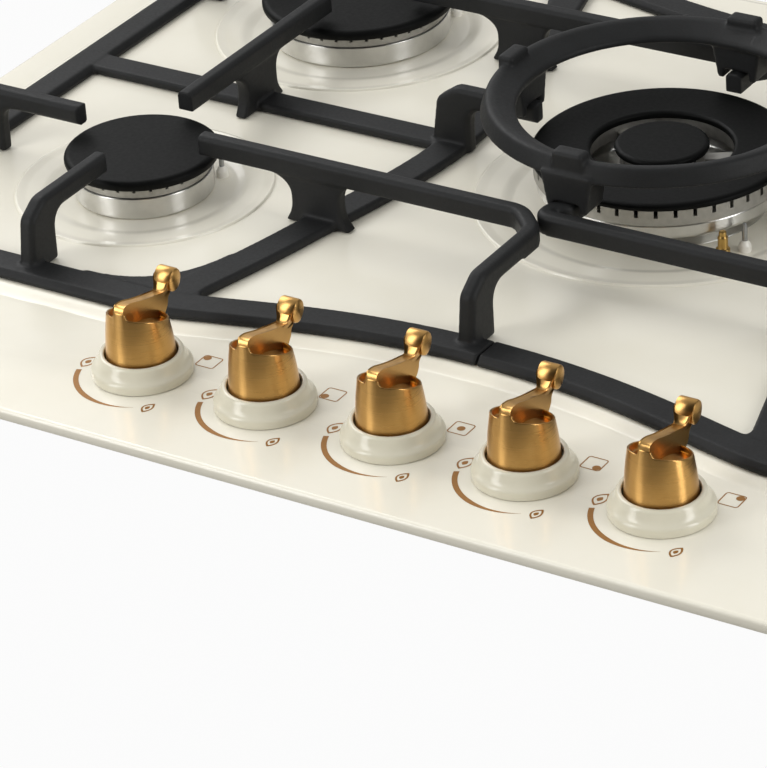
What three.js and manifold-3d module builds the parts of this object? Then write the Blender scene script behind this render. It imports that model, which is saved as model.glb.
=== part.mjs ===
// Built-in gas cooktop, 75 cm class: five burners, two cast-iron pan supports,
// a loose wok ring and five lever knobs along the front edge.
// Millimetres, +Z up, +Y to the back. The origin is the centre of the plan,
// on the underside of the steel tray that hangs in the worktop's cut-out.

import * as THREE from 'three';
import { mergeVertices } from 'three/addons/utils/BufferGeometryUtils.js';
import Module from 'manifold-3d';

const wasm = await Module();
wasm.setup();

// ---------------------------------------------------------------- driving sizes

const SEAT_GAP = 0.3;             // left between any two pieces that touch
const FACETS_WOK = 24;            // facets round the large burner and the wok ring
const FACETS_BURNER = 16;         // facets round a small burner
const FACETS_KNOB = 16;           // facets round a knob or its collar
const FACETS_PLUG = 12;           // facets round a tap's plug and its seat
const FACETS_HIDDEN = 8;          // facets round a tap or the manifold
const FACETS_PIPE = 6;            // facets round a pipe or a small bore

// Top panel. Heights called "above the panel" are above its flat front strip.
const PANEL_WIDTH = 750;
const PANEL_DEPTH = 520;
const PANEL_CORNER_R = 12;
const PANEL_SHEET = 1;
const LIP_HEIGHT = 5.5;           // panel above the worktop
const LIP_ROUND = 2;
const PLATEAU_RISE = 3;           // pressed-up burner area
const PLATEAU_SLOPE = 8;
const PLATEAU_SIDE_MARGIN = 27;
const PLATEAU_BACK_MARGIN = 11;
const WELL_FLOOR = 0.5;           // floor of a burner's well above the panel
const WELL_LEDGE = 2;             // its middle step above the panel
const WELL_FLOOR_MARGIN = 10;     // floor beyond the flame ring
const WELL_LEDGE_MARGIN = 17;
const WELL_MARGIN = 31;
const SPINDLE_HOLE_R = 6;

// Tray below the worktop
const TRAY_DEPTH = 45;
const TRAY_WIDTH = 554;
const TRAY_LENGTH = 474;
const TRAY_SHEET = 1;
const TRAY_FLANGE = 8;
const NOTCH_WIDTH = 55;           // corner left free for the gas hose
const NOTCH_LENGTH = 37;
const VENT_COUNT = 5;
const VENT_LENGTH = 46;
const VENT_WIDTH = 6;
const VENT_PITCH = 24;
const VENT_SPREAD = 105;

// Foam seal under the panel edge
const SEAL_WIDTH = 10;
const SEAL_INSET = 4;

// Knobs and collars
const KNOB_COUNT = 5;
const KNOB_PITCH = 66;
const KNOB_FROM_FRONT = 56.2;
const KNOB_BASE_R = 16;
const KNOB_WAIST_R = 15;
const KNOB_WAIST_HEIGHT = 22;
const KNOB_RIM_R = 13.8;
const KNOB_RIM_HEIGHT = 29.8;
const KNOB_FOOT = 5;              // underside above the panel, so that it can be pushed
const KNOB_WALL = 1.4;
const KNOB_CUP_DEPTH = 9;
const KNOB_HUB_R = 7.5;
const LEVER_WIDTH = 5.6;
const LEVER_TOP = 36.5;
const LEVER_DROP = 5.6;           // fall of the lever's top edge from its front to the drum
const LEVER_NOSE = 3.8;           // round front corner of the fin
const DRUM_WIDTH = 8.4;
const DRUM_REACH = 24.9;          // knob axis to the drum's centre
const DRUM_HEIGHT = 34.1;
const DRUM_LONG_R = 6.6;
const DRUM_SHORT_R = 4.2;
const DRUM_TILT = 37;             // degrees back from upright
const COLLAR_R = 23.05;
const COLLAR_GAP = 0.7;           // knob to collar
const COLLAR_HEIGHT = 11;
const COLLAR_SIDE = 4.2;
const COLLAR_WALL = 1.6;

// Taps
const SPINDLE_R = 3;
const SPINDLE_FLAT = 2;           // axis to the flat of the D section
const SPINDLE_IN_KNOB = 12;
const SPINDLE_IN_PLUG = 8;
const PUSH_TRAVEL = 3.5;
const TAP_R = 11;
const TAP_FOOT = 4;               // barrel above the tray floor
const TAP_TOP = 42;
const BONNET_GAP = 0.6;           // spindle to its hole
const PLUG_TOP_R = 7.2;
const PLUG_BOTTOM_R = 5.2;
const PLUG_BOTTOM = 12;
const PLUG_TOP = 34;
const PLUG_BORE_TOP = 20;
const GAS_BORE_R = 1.8;
const TAP_OUTLET_Z = 18;
const TAP_OUTLET_R = 5.5;
const TAP_OUTLET_REACH = 19;
const SADDLE_WIDTH = 12;
const SADDLE_WALL = 1.5;

// Gas supply
const MANIFOLD_R = 7;
const MANIFOLD_WALL = 1.5;
const MANIFOLD_Z = 10.5;
const MANIFOLD_SETBACK = 18;      // in front of the knob row
const MANIFOLD_TAIL = 20;         // beyond the first tap
const MANIFOLD_RUN_X = 178;
const MANIFOLD_BEND_R = 22;
const GAS_IN_RISE = 4;            // outlet holes above the pipe's axis
const INLET_R = 10.5;
const INLET_BORE_R = 7;
const INLET_Z = 15;
const INLET_BODY = 22;
const INLET_REACH = 24;           // beyond the tray's notch wall
const INLET_NUT_R = 13.5;
const INLET_NUT = 6;
const INLET_BOSS_R = 8.5;
const INLET_BOSS_REACH = 17;
const PIPE_R = 4;
const PIPE_LOW_Z = 24;
const PIPE_HIGH_Z = 35;
const PIPE_BEND_R = 12;

// Burners. Radii are those of the flame ring.
const WOK_FROM_KNOBS = 244;
const BURNER_SPREAD_X = 232;
const BURNER_SPREAD_Y = 98.5;
const RAPID_R = 46;
const MEDIUM_R = 33.3;
const SMALL_R = 23;
const RAPID_BOWL_R = 37;          // bowl below the panel
const MEDIUM_BOWL_R = 28;
const SMALL_BOWL_R = 18;
const HOLE_GAP = 1;               // bowl to the panel's hole
const HOLDER_R = 9;
const HOLDER_TOP = -18;           // injector holder, above the panel
const HOLDER_BOTTOM = -32;
const BOWL_WALL = 2.5;
const BOWL_FLOOR = -12;
const HOLDER_INLET_Z = 25.5;
const HOLDER_INLET_R = 6;
const HOLDER_INLET_REACH = 20;
const FLANGE_THICKNESS = 1.5;
const CUP_TOP = 13;
const CUP_OVERHANG = 0.8;         // cup beyond the flame ring
const CROWN_HEIGHT = 5.1;
const CROWN_WALL = 5;
const CROWN_SKIRT = 5;
const CAP_OVERHANG = 4.5;
const CAP_HEIGHT = 5;
const CAP_BEVEL = 1.5;
const CAP_SPIGOT = 2;
const PORT_WIDTH = 1.8;
const PORT_DEPTH = 2.5;
const PORT_PITCH = 8.8;

const WOK_BODY_R = 45;
const WOK_RING_R = 60;
const WOK_RING_UNDER = 10.9;
const WOK_CUP_TOP = 18.4;
const WOK_CUP_WALL = 4;
const WOK_CROWN_R = 61.3;
const WOK_CROWN_TOP = 26.3;
const WOK_CROWN_INNER_R = 36;
const WOK_TROUGH_WALL = 4;
const WOK_TROUGH_FLOOR = 2;
const WOK_INNER_R = 20;           // inner crown
const WOK_INNER_TOP = 28;
const WOK_BRIDGES = 3;
const WOK_BRIDGE_WIDTH = 7;
const WOK_CAP_R = 62.3;
const WOK_CAP_HOLE_R = 34;
const WOK_CAP_HEIGHT = 3.4;
const WOK_INNER_CAP_R = 22.5;
const WOK_INNER_CAP_HEIGHT = 3.5;
const WOK_WELL_FLOOR_R = 71;
const WOK_WELL_LEDGE_R = 77;
const WOK_WELL_R = 92;
const WOK_FLANGE_R = 51;

// Spark electrodes and their module
const ELECTRODE_R = 3;
const ELECTRODE_GAP = 1.2;        // ceramic to the burner's cup
const ELECTRODE_BOTTOM = -22;
const ELECTRODE_SHOULDER = 9;
const ELECTRODE_TIP_R = 1;
const ELECTRODE_TIP = 16;
const ELECTRODE_ANGLE = 45;
const WOK_ELECTRODE_ANGLE = -27;
const MODULE_LENGTH = 70;
const MODULE_WIDTH = 38;
const MODULE_HEIGHT = 26;
const MODULE_X = -60;
const MODULE_FROM_BACK = 45;
const TERMINAL_R = 2.2;
const TERMINAL_HEIGHT = 7;
const TERMINAL_PITCH = 12;

// Pan supports. The left casting is drawn; the right one is the same, turned half a turn.
const RAIL_WIDTH = 19;
const RAIL_HEIGHT = 5;
const RAIL_BEVEL = 1.6;
const RAIL_CORNER_R = 34;
const RAIL_FRONT = 197.5;         // rail centre line to the wok burner's axis
const RAIL_BOW = 26.5;            // how far the rail bows back round the knobs
const RAIL_SIDE = 336;
const BOW_START = 165;            // the bow's control points, from the middle
const BOW_LEAD_OUT = 135;
const BOW_LEAD_IN = 85;
const SEAM_SHIFT = 4;             // the front seam is right of the middle, the back one left
const SEAM_GAP = 1;
const STRAP_WIDTH = 20;
const STRAP_END_X = 151.5;
const STRAP_KNEE_X = 130.5;
const STRAP_KNEE_Y = 112.5;
const STRAP_MID_X = 114;
const STRAP_FLARE_R = 17;
const ARM_WIDTH = 9.5;
const ARM_HEIGHT = 10;
const ARM_TOP = 38;               // above the panel
const ARM_BEVEL = 1.6;
const ARM_SHOULDER = 15;          // length of the bevelled corner over a leg
const ARM_SHOULDER_DROP = 7.5;
const ARM_SHOULDER_BACK = 4;
const LEG_DEPTH = 22;
const LEG_SETBACK = 2;            // leg's outer face beyond the rail's centre line
const FINGER_CIRCLE_R = 35;       // free circle between the fingers over a burner
const WOK_FINGER_R = 66;
const WOK_FINGER_SHIFT = 10;      // front and back wok fingers stand beside the seam
const ELBOW_X = 8.4;              // the long arm's end, beside the seam
const ELBOW_CUT = 13.6;
const WOK_ELBOW_CUT = 9;
const POST_WIDTH = 24;
const POST_FLARE = 9;
const BRIDGE_WIDTH = 16;

// Wok ring
const RING_TOP_R = 82;
const RING_TOP = 59;
const RING_FOOT_R = 85.5;
const RING_BOTTOM = 50;
const RING_INNER_R = 68;
const RING_RIM_WIDTH = 4;
const LUG_COUNT = 4;
const LUG_WIDTH = 17;
const LUG_DEPTH = 18;
const LUG_TOP = 63;
const LUG_FOOT_WIDTH = 20;
const LUG_ROOT_WIDTH = 27;
const LUG_GRIP = 4.5;             // how far a lug reaches down beside its finger

// ---------------------------------------------------------------- levels and places

const PANEL_TOP = TRAY_DEPTH + LIP_HEIGHT;
const PANEL_UNDER = PANEL_TOP - PANEL_SHEET;
const TRAY_TOP = PANEL_UNDER - SEAT_GAP;
const TRAY_FLOOR = TRAY_SHEET + SEAT_GAP;
const KNOB_ROW_Y = -PANEL_DEPTH / 2 + KNOB_FROM_FRONT;
const WOK_Y = KNOB_ROW_Y + WOK_FROM_KNOBS;
const NOTCH_Y = TRAY_LENGTH / 2 - NOTCH_LENGTH;
const INLET_X = TRAY_WIDTH / 2 - NOTCH_WIDTH / 2;
const GAS_IN_Z = MANIFOLD_Z + GAS_IN_RISE;
const RAIL_FOOT = PLATEAU_RISE + SEAT_GAP;
const RAIL_TOP = RAIL_FOOT + RAIL_HEIGHT;
const RAIL_MIDDLE = RAIL_FRONT - RAIL_BOW;
const ARM_UNDER = ARM_TOP - ARM_HEIGHT;
const FINGER_TIP_Y = BURNER_SPREAD_Y + FINGER_CIRCLE_R;
const FINGER_TIP_X = BURNER_SPREAD_X + FINGER_CIRCLE_R;
const FLANGE_UNDER = WELL_FLOOR + SEAT_GAP;

const frontY = WOK_Y - BURNER_SPREAD_Y;
const backY = WOK_Y + BURNER_SPREAD_Y;

// In the order of their knobs, from the left.
const BURNERS = [
  { name: 'rear_left', x: -BURNER_SPREAD_X, y: backY, r: RAPID_R, bowl: RAPID_BOWL_R },
  { name: 'front_left', x: -BURNER_SPREAD_X, y: frontY, r: MEDIUM_R, bowl: MEDIUM_BOWL_R },
  { name: 'wok', x: 0, y: WOK_Y, r: WOK_CROWN_R, bowl: WOK_BODY_R },
  { name: 'front_right', x: BURNER_SPREAD_X, y: frontY, r: SMALL_R, bowl: SMALL_BOWL_R },
  { name: 'rear_right', x: BURNER_SPREAD_X, y: backY, r: MEDIUM_R, bowl: MEDIUM_BOWL_R },
];
const isWok = (burner) => burner.name === 'wok';
const knobX = (index) => (index - (KNOB_COUNT - 1) / 2) * KNOB_PITCH;

// ---------------------------------------------------------------- solids

function solid(geometry) {
  const bare = geometry.clone();
  bare.deleteAttribute('normal');
  bare.deleteAttribute('uv');
  const merged = mergeVertices(bare, 1e-3);
  const index = merged.index.array;
  const triangles = [];
  for (let i = 0; i < index.length; i += 3) {
    const [a, b, c] = [index[i], index[i + 1], index[i + 2]];
    if (a !== b && b !== c && c !== a) triangles.push(a, b, c);
  }
  return new wasm.Manifold(new wasm.Mesh({
    numProp: 3,
    vertProperties: new Float32Array(merged.attributes.position.array),
    triVerts: new Uint32Array(triangles),
  }));
}

function geometryOf(body) {
  const mesh = body.getMesh();
  const geometry = new THREE.BufferGeometry();
  geometry.setAttribute('position', new THREE.BufferAttribute(mesh.vertProperties, 3));
  geometry.setIndex(new THREE.BufferAttribute(mesh.triVerts, 1));
  geometry.computeVertexNormals();
  return geometry;
}

const join = (...bodies) => bodies.reduce((whole, next) => whole.add(next));
const cut = (body, ...tools) => tools.reduce((rest, tool) => rest.subtract(tool), body);
const move = (body, x, y, z) => body.translate([x, y, z]);
const turn = (body, degrees) => body.rotate([0, 0, degrees]);

// A body of revolution about Z. The profile of [radius, height] has the solid on its left.
function revolve(profile, facets) {
  const lathe = new THREE.LatheGeometry(profile.map((p) => new THREE.Vector2(...p)), facets);
  return solid(lathe.rotateX(Math.PI / 2));
}

function ring(inner, outer, bottom, top, facets) {
  const start = [inner, bottom];
  return revolve([start, [outer, bottom], [outer, top], [inner, top], start], facets);
}

function disc(radius, bottom, top, facets) {
  return revolve([[0, bottom], [radius, bottom], [radius, top], [0, top]], facets);
}

function block(x0, x1, y0, y1, z0, z1) {
  const box = new THREE.BoxGeometry(x1 - x0, y1 - y0, z1 - z0);
  return solid(box.translate((x0 + x1) / 2, (y0 + y1) / 2, (z0 + z1) / 2));
}

const outline = (points) => new THREE.Shape(points.map((p) => new THREE.Vector2(...p)));

function extrusion(shape, bottom, top, bevel, curveSegments) {
  const geometry = new THREE.ExtrudeGeometry(shape, {
    depth: top - bottom - 2 * bevel,
    bevelEnabled: bevel > 0,
    bevelThickness: bevel,
    bevelSize: bevel,
    bevelOffset: -bevel,
    bevelSegments: 1,
    curveSegments,
  });
  return geometry.translate(0, 0, bottom + bevel);
}

// A plan outline raised from bottom to top, with its edges bevelled.
function slab(shape, bottom, top, bevel = 0, curveSegments = 4) {
  return solid(extrusion(shape, bottom, top, bevel, curveSegments));
}

// An outline of (distance along X, height), with an even thickness across Y.
function upright(shape, thickness, bevel = 0, curveSegments = 4) {
  const geometry = extrusion(shape, -thickness / 2, thickness / 2, bevel, curveSegments);
  return solid(geometry.rotateX(Math.PI / 2));
}

function roundedRectangle(width, length, radius) {
  const [x, y] = [width / 2 - radius, length / 2 - radius];
  const shape = new THREE.Shape();
  shape.absarc(x, y, radius, 0, Math.PI / 2);
  shape.absarc(-x, y, radius, Math.PI / 2, Math.PI);
  shape.absarc(-x, -y, radius, Math.PI, Math.PI * 1.5);
  shape.absarc(x, -y, radius, -Math.PI / 2, 0);
  return shape;
}

function circleOutline(radius, facets) {
  const corner = (_, i) => {
    const angle = (i / facets) * Math.PI * 2;
    return [radius * Math.cos(angle), radius * Math.sin(angle)];
  };
  return outline(Array.from({ length: facets }, corner));
}

// The outline of a strip along a centre line, with mitred corners.
function strip(centre, widthAt) {
  const left = [];
  const right = [];
  centre.forEach((point, i) => {
    const incoming = point.clone().sub(centre[i - 1] ?? point).normalize();
    const outgoing = (centre[i + 1] ?? point).clone().sub(point).normalize();
    const along = incoming.clone().add(outgoing).normalize();
    const run = outgoing.lengthSq() > 0 ? outgoing : incoming;
    const half = widthAt(point) / 2 / along.dot(run);
    const side = new THREE.Vector2(-along.y, along.x).multiplyScalar(half);
    left.push(point.clone().add(side));
    right.unshift(point.clone().sub(side));
  });
  return new THREE.Shape([...left, ...right]);
}

// A path through corners rounded by bends, that takes one step along each straight run.
class PipeRoute extends THREE.Curve {
  constructor(corners, bend, stepsPerBend = 2) {
    super();
    this.points = [corners[0]];
    for (let i = 1; i < corners.length - 1; i += 1) {
      const reach = (other) => {
        const far = other.distanceTo(corners[i]);
        return corners[i].clone().lerp(other, Math.min(bend / far, 0.45));
      };
      const curve = new THREE.QuadraticBezierCurve3(
        reach(corners[i - 1]), corners[i], reach(corners[i + 1]),
      );
      this.points.push(...curve.getPoints(stepsPerBend));
    }
    this.points.push(corners.at(-1));
  }

  get steps() {
    return this.points.length - 1;
  }

  getPointAt(share, target = new THREE.Vector3()) {
    return target.copy(this.points[Math.round(share * this.steps)]);
  }

  getTangentAt(share, target = new THREE.Vector3()) {
    const i = Math.round(share * this.steps);
    const here = this.points[i];
    const before = here.clone().sub(this.points[i - 1] ?? here).normalize();
    const after = (this.points[i + 1] ?? here).clone().sub(here).normalize();
    return target.copy(before).add(after).normalize();
  }
}

function pipe(route, radius, facets = FACETS_PIPE) {
  return solid(new THREE.ExtrudeGeometry(circleOutline(radius, facets), {
    steps: route.steps,
    bevelEnabled: false,
    extrudePath: route,
  }));
}

function rod(start, end, radius, facets = FACETS_PIPE) {
  return pipe(new PipeRoute([new THREE.Vector3(...start), new THREE.Vector3(...end)], 0), radius, facets);
}

function repeatRound(count, bodyAt) {
  return join(...Array.from({ length: count }, (_, i) => turn(bodyAt, (i / count) * 360)));
}

// Grooves cut radially into the top of a ring whose rim is at the radius.
function ports(radius, wall, top) {
  const count = Math.round((2 * Math.PI * radius) / PORT_PITCH);
  const groove = outline([[0, top - PORT_DEPTH], [PORT_WIDTH, top + 1], [-PORT_WIDTH, top + 1]]);
  const length = wall + 4;
  const slot = move(turn(upright(groove, length), 90), radius - wall / 2, 0, 0);
  return repeatRound(count, slot);
}

// ---------------------------------------------------------------- finishes and assembly

const FINISHES = {
  enamel: { color: 0xe6e3d8, roughness: 0.18, metalness: 0 },
  collarPlastic: { color: 0xd7d4c3, roughness: 0.25, metalness: 0 },
  bronze: { color: 0xb48238, roughness: 0.32, metalness: 1 },
  castIron: { color: 0x2e2f30, roughness: 0.6, metalness: 0.2 },
  blackEnamel: { color: 0x141614, roughness: 0.35, metalness: 0 },
  aluminium: { color: 0xc9c9c6, roughness: 0.3, metalness: 1 },
  brass: { color: 0xc8a24a, roughness: 0.35, metalness: 1 },
  steel: { color: 0xa9abad, roughness: 0.35, metalness: 1 },
  zincSheet: { color: 0xb5b8ba, roughness: 0.45, metalness: 1 },
  ceramic: { color: 0xf0ede4, roughness: 0.4, metalness: 0 },
  plastic: { color: 0xdad7cf, roughness: 0.5, metalness: 0 },
  foam: { color: 0x3a3a3a, roughness: 0.95, metalness: 0 },
};

const cooktop = new THREE.Group();

function add(name, body, finish, x = 0, y = 0, z = 0) {
  const mesh = new THREE.Mesh(geometryOf(body), new THREE.MeshStandardMaterial(FINISHES[finish]));
  mesh.name = name;
  mesh.position.set(x, y, z);
  cooktop.add(mesh);
  return mesh;
}

// ---------------------------------------------------------------- top panel

// The front rail's centre line from the wok burner's axis: straight, bowed back in the middle
// round the knobs, and straight again. The burner area's front edge runs along it.
function bowPoints(steps) {
  const bow = new THREE.CubicBezierCurve(
    new THREE.Vector2(-BOW_START, -RAIL_FRONT),
    new THREE.Vector2(-BOW_LEAD_OUT, -RAIL_FRONT),
    new THREE.Vector2(-BOW_LEAD_IN, -RAIL_MIDDLE),
    new THREE.Vector2(0, -RAIL_MIDDLE),
  );
  return bow.getPoints(steps);
}

function plateauOutline() {
  const side = PANEL_WIDTH / 2 - PLATEAU_SIDE_MARGIN - RAIL_CORNER_R;
  const back = PANEL_DEPTH / 2 - PLATEAU_BACK_MARGIN - RAIL_CORNER_R;
  const front = WOK_Y - RAIL_FRONT - RAIL_WIDTH / 2 + RAIL_CORNER_R;
  const rightHalf = bowPoints(5).map((p) => new THREE.Vector2(-p.x, p.y)).reverse();
  const shape = new THREE.Shape();
  shape.absarc(side, back, RAIL_CORNER_R, 0, Math.PI / 2);
  shape.absarc(-side, back, RAIL_CORNER_R, Math.PI / 2, Math.PI);
  shape.absarc(-side, front, RAIL_CORNER_R, Math.PI, Math.PI * 1.5);
  for (const p of [...bowPoints(5), ...rightHalf.slice(1)]) {
    shape.lineTo(p.x, WOK_Y + p.y - RAIL_WIDTH / 2);
  }
  shape.absarc(side, front, RAIL_CORNER_R, -Math.PI / 2, 0);
  return shape;
}

function plateau() {
  const root = LIP_HEIGHT - LIP_ROUND;
  const geometry = new THREE.ExtrudeGeometry(plateauOutline(), {
    depth: root,
    bevelThickness: PLATEAU_RISE,
    bevelSize: PLATEAU_SLOPE,
    bevelSegments: 1,
    curveSegments: 2,
  });
  return solid(geometry.translate(0, 0, PANEL_TOP - root));
}

// The round dish pressed into the burner area, as the space above its skin.
function dish(burner) {
  const floorR = isWok(burner) ? WOK_WELL_FLOOR_R : burner.r + WELL_FLOOR_MARGIN;
  const ledgeR = isWok(burner) ? WOK_WELL_LEDGE_R : burner.r + WELL_LEDGE_MARGIN;
  const rimR = isWok(burner) ? WOK_WELL_R : burner.r + WELL_MARGIN;
  const space = revolve([
    [0, WELL_FLOOR], [floorR, WELL_FLOOR], [ledgeR, WELL_LEDGE], [rimR, PLATEAU_RISE],
    [rimR, PLATEAU_RISE + 2], [0, PLATEAU_RISE + 2],
  ], isWok(burner) ? FACETS_WOK : FACETS_BURNER);
  return move(space, burner.x, burner.y, PANEL_TOP);
}

// The pressed form inside its skin; the sheet lies between two of them.
function panelForm(inset) {
  const plan = roundedRectangle(
    PANEL_WIDTH - 2 * inset, PANEL_DEPTH - 2 * inset, PANEL_CORNER_R - inset,
  );
  const body = join(slab(plan, 0, PANEL_TOP, LIP_ROUND, 2), plateau());
  return move(cut(body, ...BURNERS.map(dish)), 0, 0, -inset);
}

const holeR = (burner) => burner.bowl + HOLE_GAP;

function electrodeAt(burner) {
  const cupR = isWok(burner) ? WOK_CAP_R : burner.r + CUP_OVERHANG;
  const reach = cupR + ELECTRODE_GAP + ELECTRODE_R;
  const angle = THREE.MathUtils.degToRad(isWok(burner) ? WOK_ELECTRODE_ANGLE : ELECTRODE_ANGLE);
  return [burner.x + reach * Math.cos(angle), burner.y + reach * Math.sin(angle)];
}

function topPanel() {
  const far = PANEL_WIDTH;
  const above = PANEL_TOP + PLATEAU_RISE + 1;
  const below = block(-far, far, -far, far, -far, TRAY_DEPTH + SEAT_GAP);
  let panel = cut(panelForm(0), panelForm(PANEL_SHEET), below);
  for (const burner of BURNERS) {
    const hole = disc(holeR(burner), 0, above, isWok(burner) ? FACETS_WOK : FACETS_BURNER);
    const eye = disc(ELECTRODE_R + SEAT_GAP, 0, above, FACETS_PIPE);
    panel = cut(panel, move(hole, burner.x, burner.y, 0), move(eye, ...electrodeAt(burner), 0));
  }
  for (let i = 0; i < KNOB_COUNT; i += 1) {
    const hole = disc(SPINDLE_HOLE_R, 0, above, FACETS_PIPE);
    panel = cut(panel, move(hole, knobX(i), KNOB_ROW_Y, 0));
  }
  return panel;
}

// ---------------------------------------------------------------- tray and seal

function trayOutline(grow) {
  const [x, y] = [TRAY_WIDTH / 2 + grow, TRAY_LENGTH / 2 + grow];
  const [notchX, notchY] = [TRAY_WIDTH / 2 - NOTCH_WIDTH + grow, NOTCH_Y + grow];
  return outline([[-x, -y], [x, -y], [x, notchY], [notchX, notchY], [notchX, y], [-x, y]]);
}

function bottomBox() {
  const hollow = slab(trayOutline(-TRAY_SHEET), TRAY_SHEET, TRAY_TOP + 1);
  const walls = slab(trayOutline(0), 0, TRAY_TOP);
  const flange = slab(trayOutline(TRAY_FLANGE), TRAY_TOP - TRAY_SHEET, TRAY_TOP);
  const inletHole = rod(
    [INLET_X, NOTCH_Y - TRAY_SHEET - 1, INLET_Z], [INLET_X, NOTCH_Y + 1, INLET_Z],
    INLET_R + SEAT_GAP, FACETS_HIDDEN,
  );
  let box = cut(join(walls, flange), hollow, inletHole);
  for (let i = 0; i < VENT_COUNT; i += 1) {
    const y = WOK_Y + (i - (VENT_COUNT - 1) / 2) * VENT_PITCH;
    for (const x of [-VENT_SPREAD, VENT_SPREAD]) {
      const [w, l] = [VENT_WIDTH / 2, VENT_LENGTH / 2];
      box = cut(box, block(x - l, x + l, y - w, y + w, -1, TRAY_SHEET + 1));
    }
  }
  return box;
}

function worktopSeal() {
  const [outerW, outerD] = [PANEL_WIDTH - 2 * SEAL_INSET, PANEL_DEPTH - 2 * SEAL_INSET];
  const [innerW, innerD] = [outerW - 2 * SEAL_WIDTH, outerD - 2 * SEAL_WIDTH];
  return cut(
    slab(roundedRectangle(outerW, outerD, PANEL_CORNER_R - SEAL_INSET), TRAY_DEPTH, TRAY_TOP, 0, 2),
    slab(outline([
      [-innerW / 2, -innerD / 2], [innerW / 2, -innerD / 2],
      [innerW / 2, innerD / 2], [-innerW / 2, innerD / 2],
    ]), 0, TRAY_TOP + 1),
  );
}

// ---------------------------------------------------------------- knobs and taps

function dSection(clearance) {
  const radius = SPINDLE_R + clearance;
  const start = Math.acos((SPINDLE_FLAT + clearance) / radius);
  const shape = new THREE.Shape();
  shape.absarc(0, 0, radius, start, Math.PI * 2 - start);
  return shape;
}

// The fin that stands across the cup and runs out over its rim, off the front at the left.
function leverOutline() {
  const cupFloor = KNOB_RIM_HEIGHT - KNOB_CUP_DEPTH;
  const tilt = THREE.MathUtils.degToRad(DRUM_TILT);
  const neckX = DRUM_REACH - DRUM_LONG_R * Math.sin(tilt);
  const neckZ = DRUM_HEIGHT - DRUM_LONG_R * Math.cos(tilt);
  const shape = new THREE.Shape();
  shape.moveTo(-KNOB_RIM_R + KNOB_WALL, cupFloor);
  shape.lineTo(KNOB_RIM_R - KNOB_WALL, cupFloor);
  shape.lineTo(KNOB_RIM_R, KNOB_RIM_HEIGHT - LEVER_DROP);
  shape.quadraticCurveTo(KNOB_RIM_R + 2, neckZ - 2.2, neckX, neckZ);
  shape.lineTo(DRUM_REACH, DRUM_HEIGHT);
  shape.lineTo(neckX - 1, LEVER_TOP - LEVER_DROP);
  shape.lineTo(-KNOB_RIM_R + LEVER_NOSE, LEVER_TOP);
  shape.quadraticCurveTo(-KNOB_RIM_R + 0.6, LEVER_TOP, -KNOB_RIM_R + 0.4, KNOB_RIM_HEIGHT + 3);
  shape.lineTo(-KNOB_RIM_R, KNOB_RIM_HEIGHT);
  return shape;
}

function drum() {
  const shape = new THREE.Shape();
  const axis = Math.PI / 2 - THREE.MathUtils.degToRad(DRUM_TILT);
  shape.absellipse(
    DRUM_REACH, DRUM_HEIGHT, DRUM_LONG_R, DRUM_SHORT_R, 0, Math.PI * 2, false, axis,
  );
  return upright(shape, DRUM_WIDTH, 0, 6);
}

function knobSkin(top) {
  const profile = [
    [KNOB_BASE_R, KNOB_FOOT], [KNOB_BASE_R, COLLAR_HEIGHT], [KNOB_WAIST_R, KNOB_WAIST_HEIGHT],
    [KNOB_RIM_R, KNOB_RIM_HEIGHT],
  ];
  if (top > KNOB_RIM_HEIGHT) profile.push([KNOB_RIM_R - 0.8, top]);
  return revolve([[0, KNOB_FOOT], ...profile, [0, top]], FACETS_KNOB);
}

// A bell with a scooped top; the fin is cut flush with the bell's skin at its front.
function knob() {
  const cupR = KNOB_RIM_R - KNOB_WALL;
  const cupFloor = KNOB_RIM_HEIGHT - KNOB_CUP_DEPTH;
  const cup = revolve([
    [0, cupFloor], [cupR - 3, cupFloor + 1.5], [cupR, KNOB_RIM_HEIGHT], [cupR, LEVER_TOP],
    [0, LEVER_TOP],
  ], FACETS_KNOB);
  const under = ring(
    KNOB_HUB_R, KNOB_BASE_R - 2 * KNOB_WALL, 0, cupFloor - 3, FACETS_HIDDEN,
  );
  const bell = cut(knobSkin(KNOB_RIM_HEIGHT), cup, under);
  const frontHalf = knobSkin(LEVER_TOP + 1);
  const backHalf = block(0, DRUM_REACH, -LEVER_WIDTH, LEVER_WIDTH, cupFloor, LEVER_TOP + 1);
  const fin = upright(leverOutline(), LEVER_WIDTH, 0, 3).intersect(join(frontHalf, backHalf));
  const bore = slab(dSection(SEAT_GAP), 0, KNOB_FOOT + SPINDLE_IN_KNOB + SEAT_GAP, 0, 3);
  return cut(turn(join(bell, fin, drum()), 90), bore);
}

function knobCollar() {
  const boreR = KNOB_BASE_R + COLLAR_GAP;
  const hollowR = boreR + COLLAR_WALL;
  const start = [hollowR, SEAT_GAP];
  return revolve([
    start, [COLLAR_R, SEAT_GAP], [COLLAR_R, COLLAR_SIDE], [COLLAR_R - 2, COLLAR_SIDE + 3.2],
    [boreR + 1, COLLAR_HEIGHT], [boreR, COLLAR_HEIGHT - 1], [hollowR, COLLAR_SIDE], start,
  ], FACETS_KNOB);
}

const SPINDLE_TOP = PANEL_TOP + KNOB_FOOT + SPINDLE_IN_KNOB;
const SPINDLE_BOTTOM = PLUG_TOP - SPINDLE_IN_PLUG;

function spindle() {
  return slab(dSection(0), SPINDLE_BOTTOM, SPINDLE_TOP, 0, 3);
}

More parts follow.
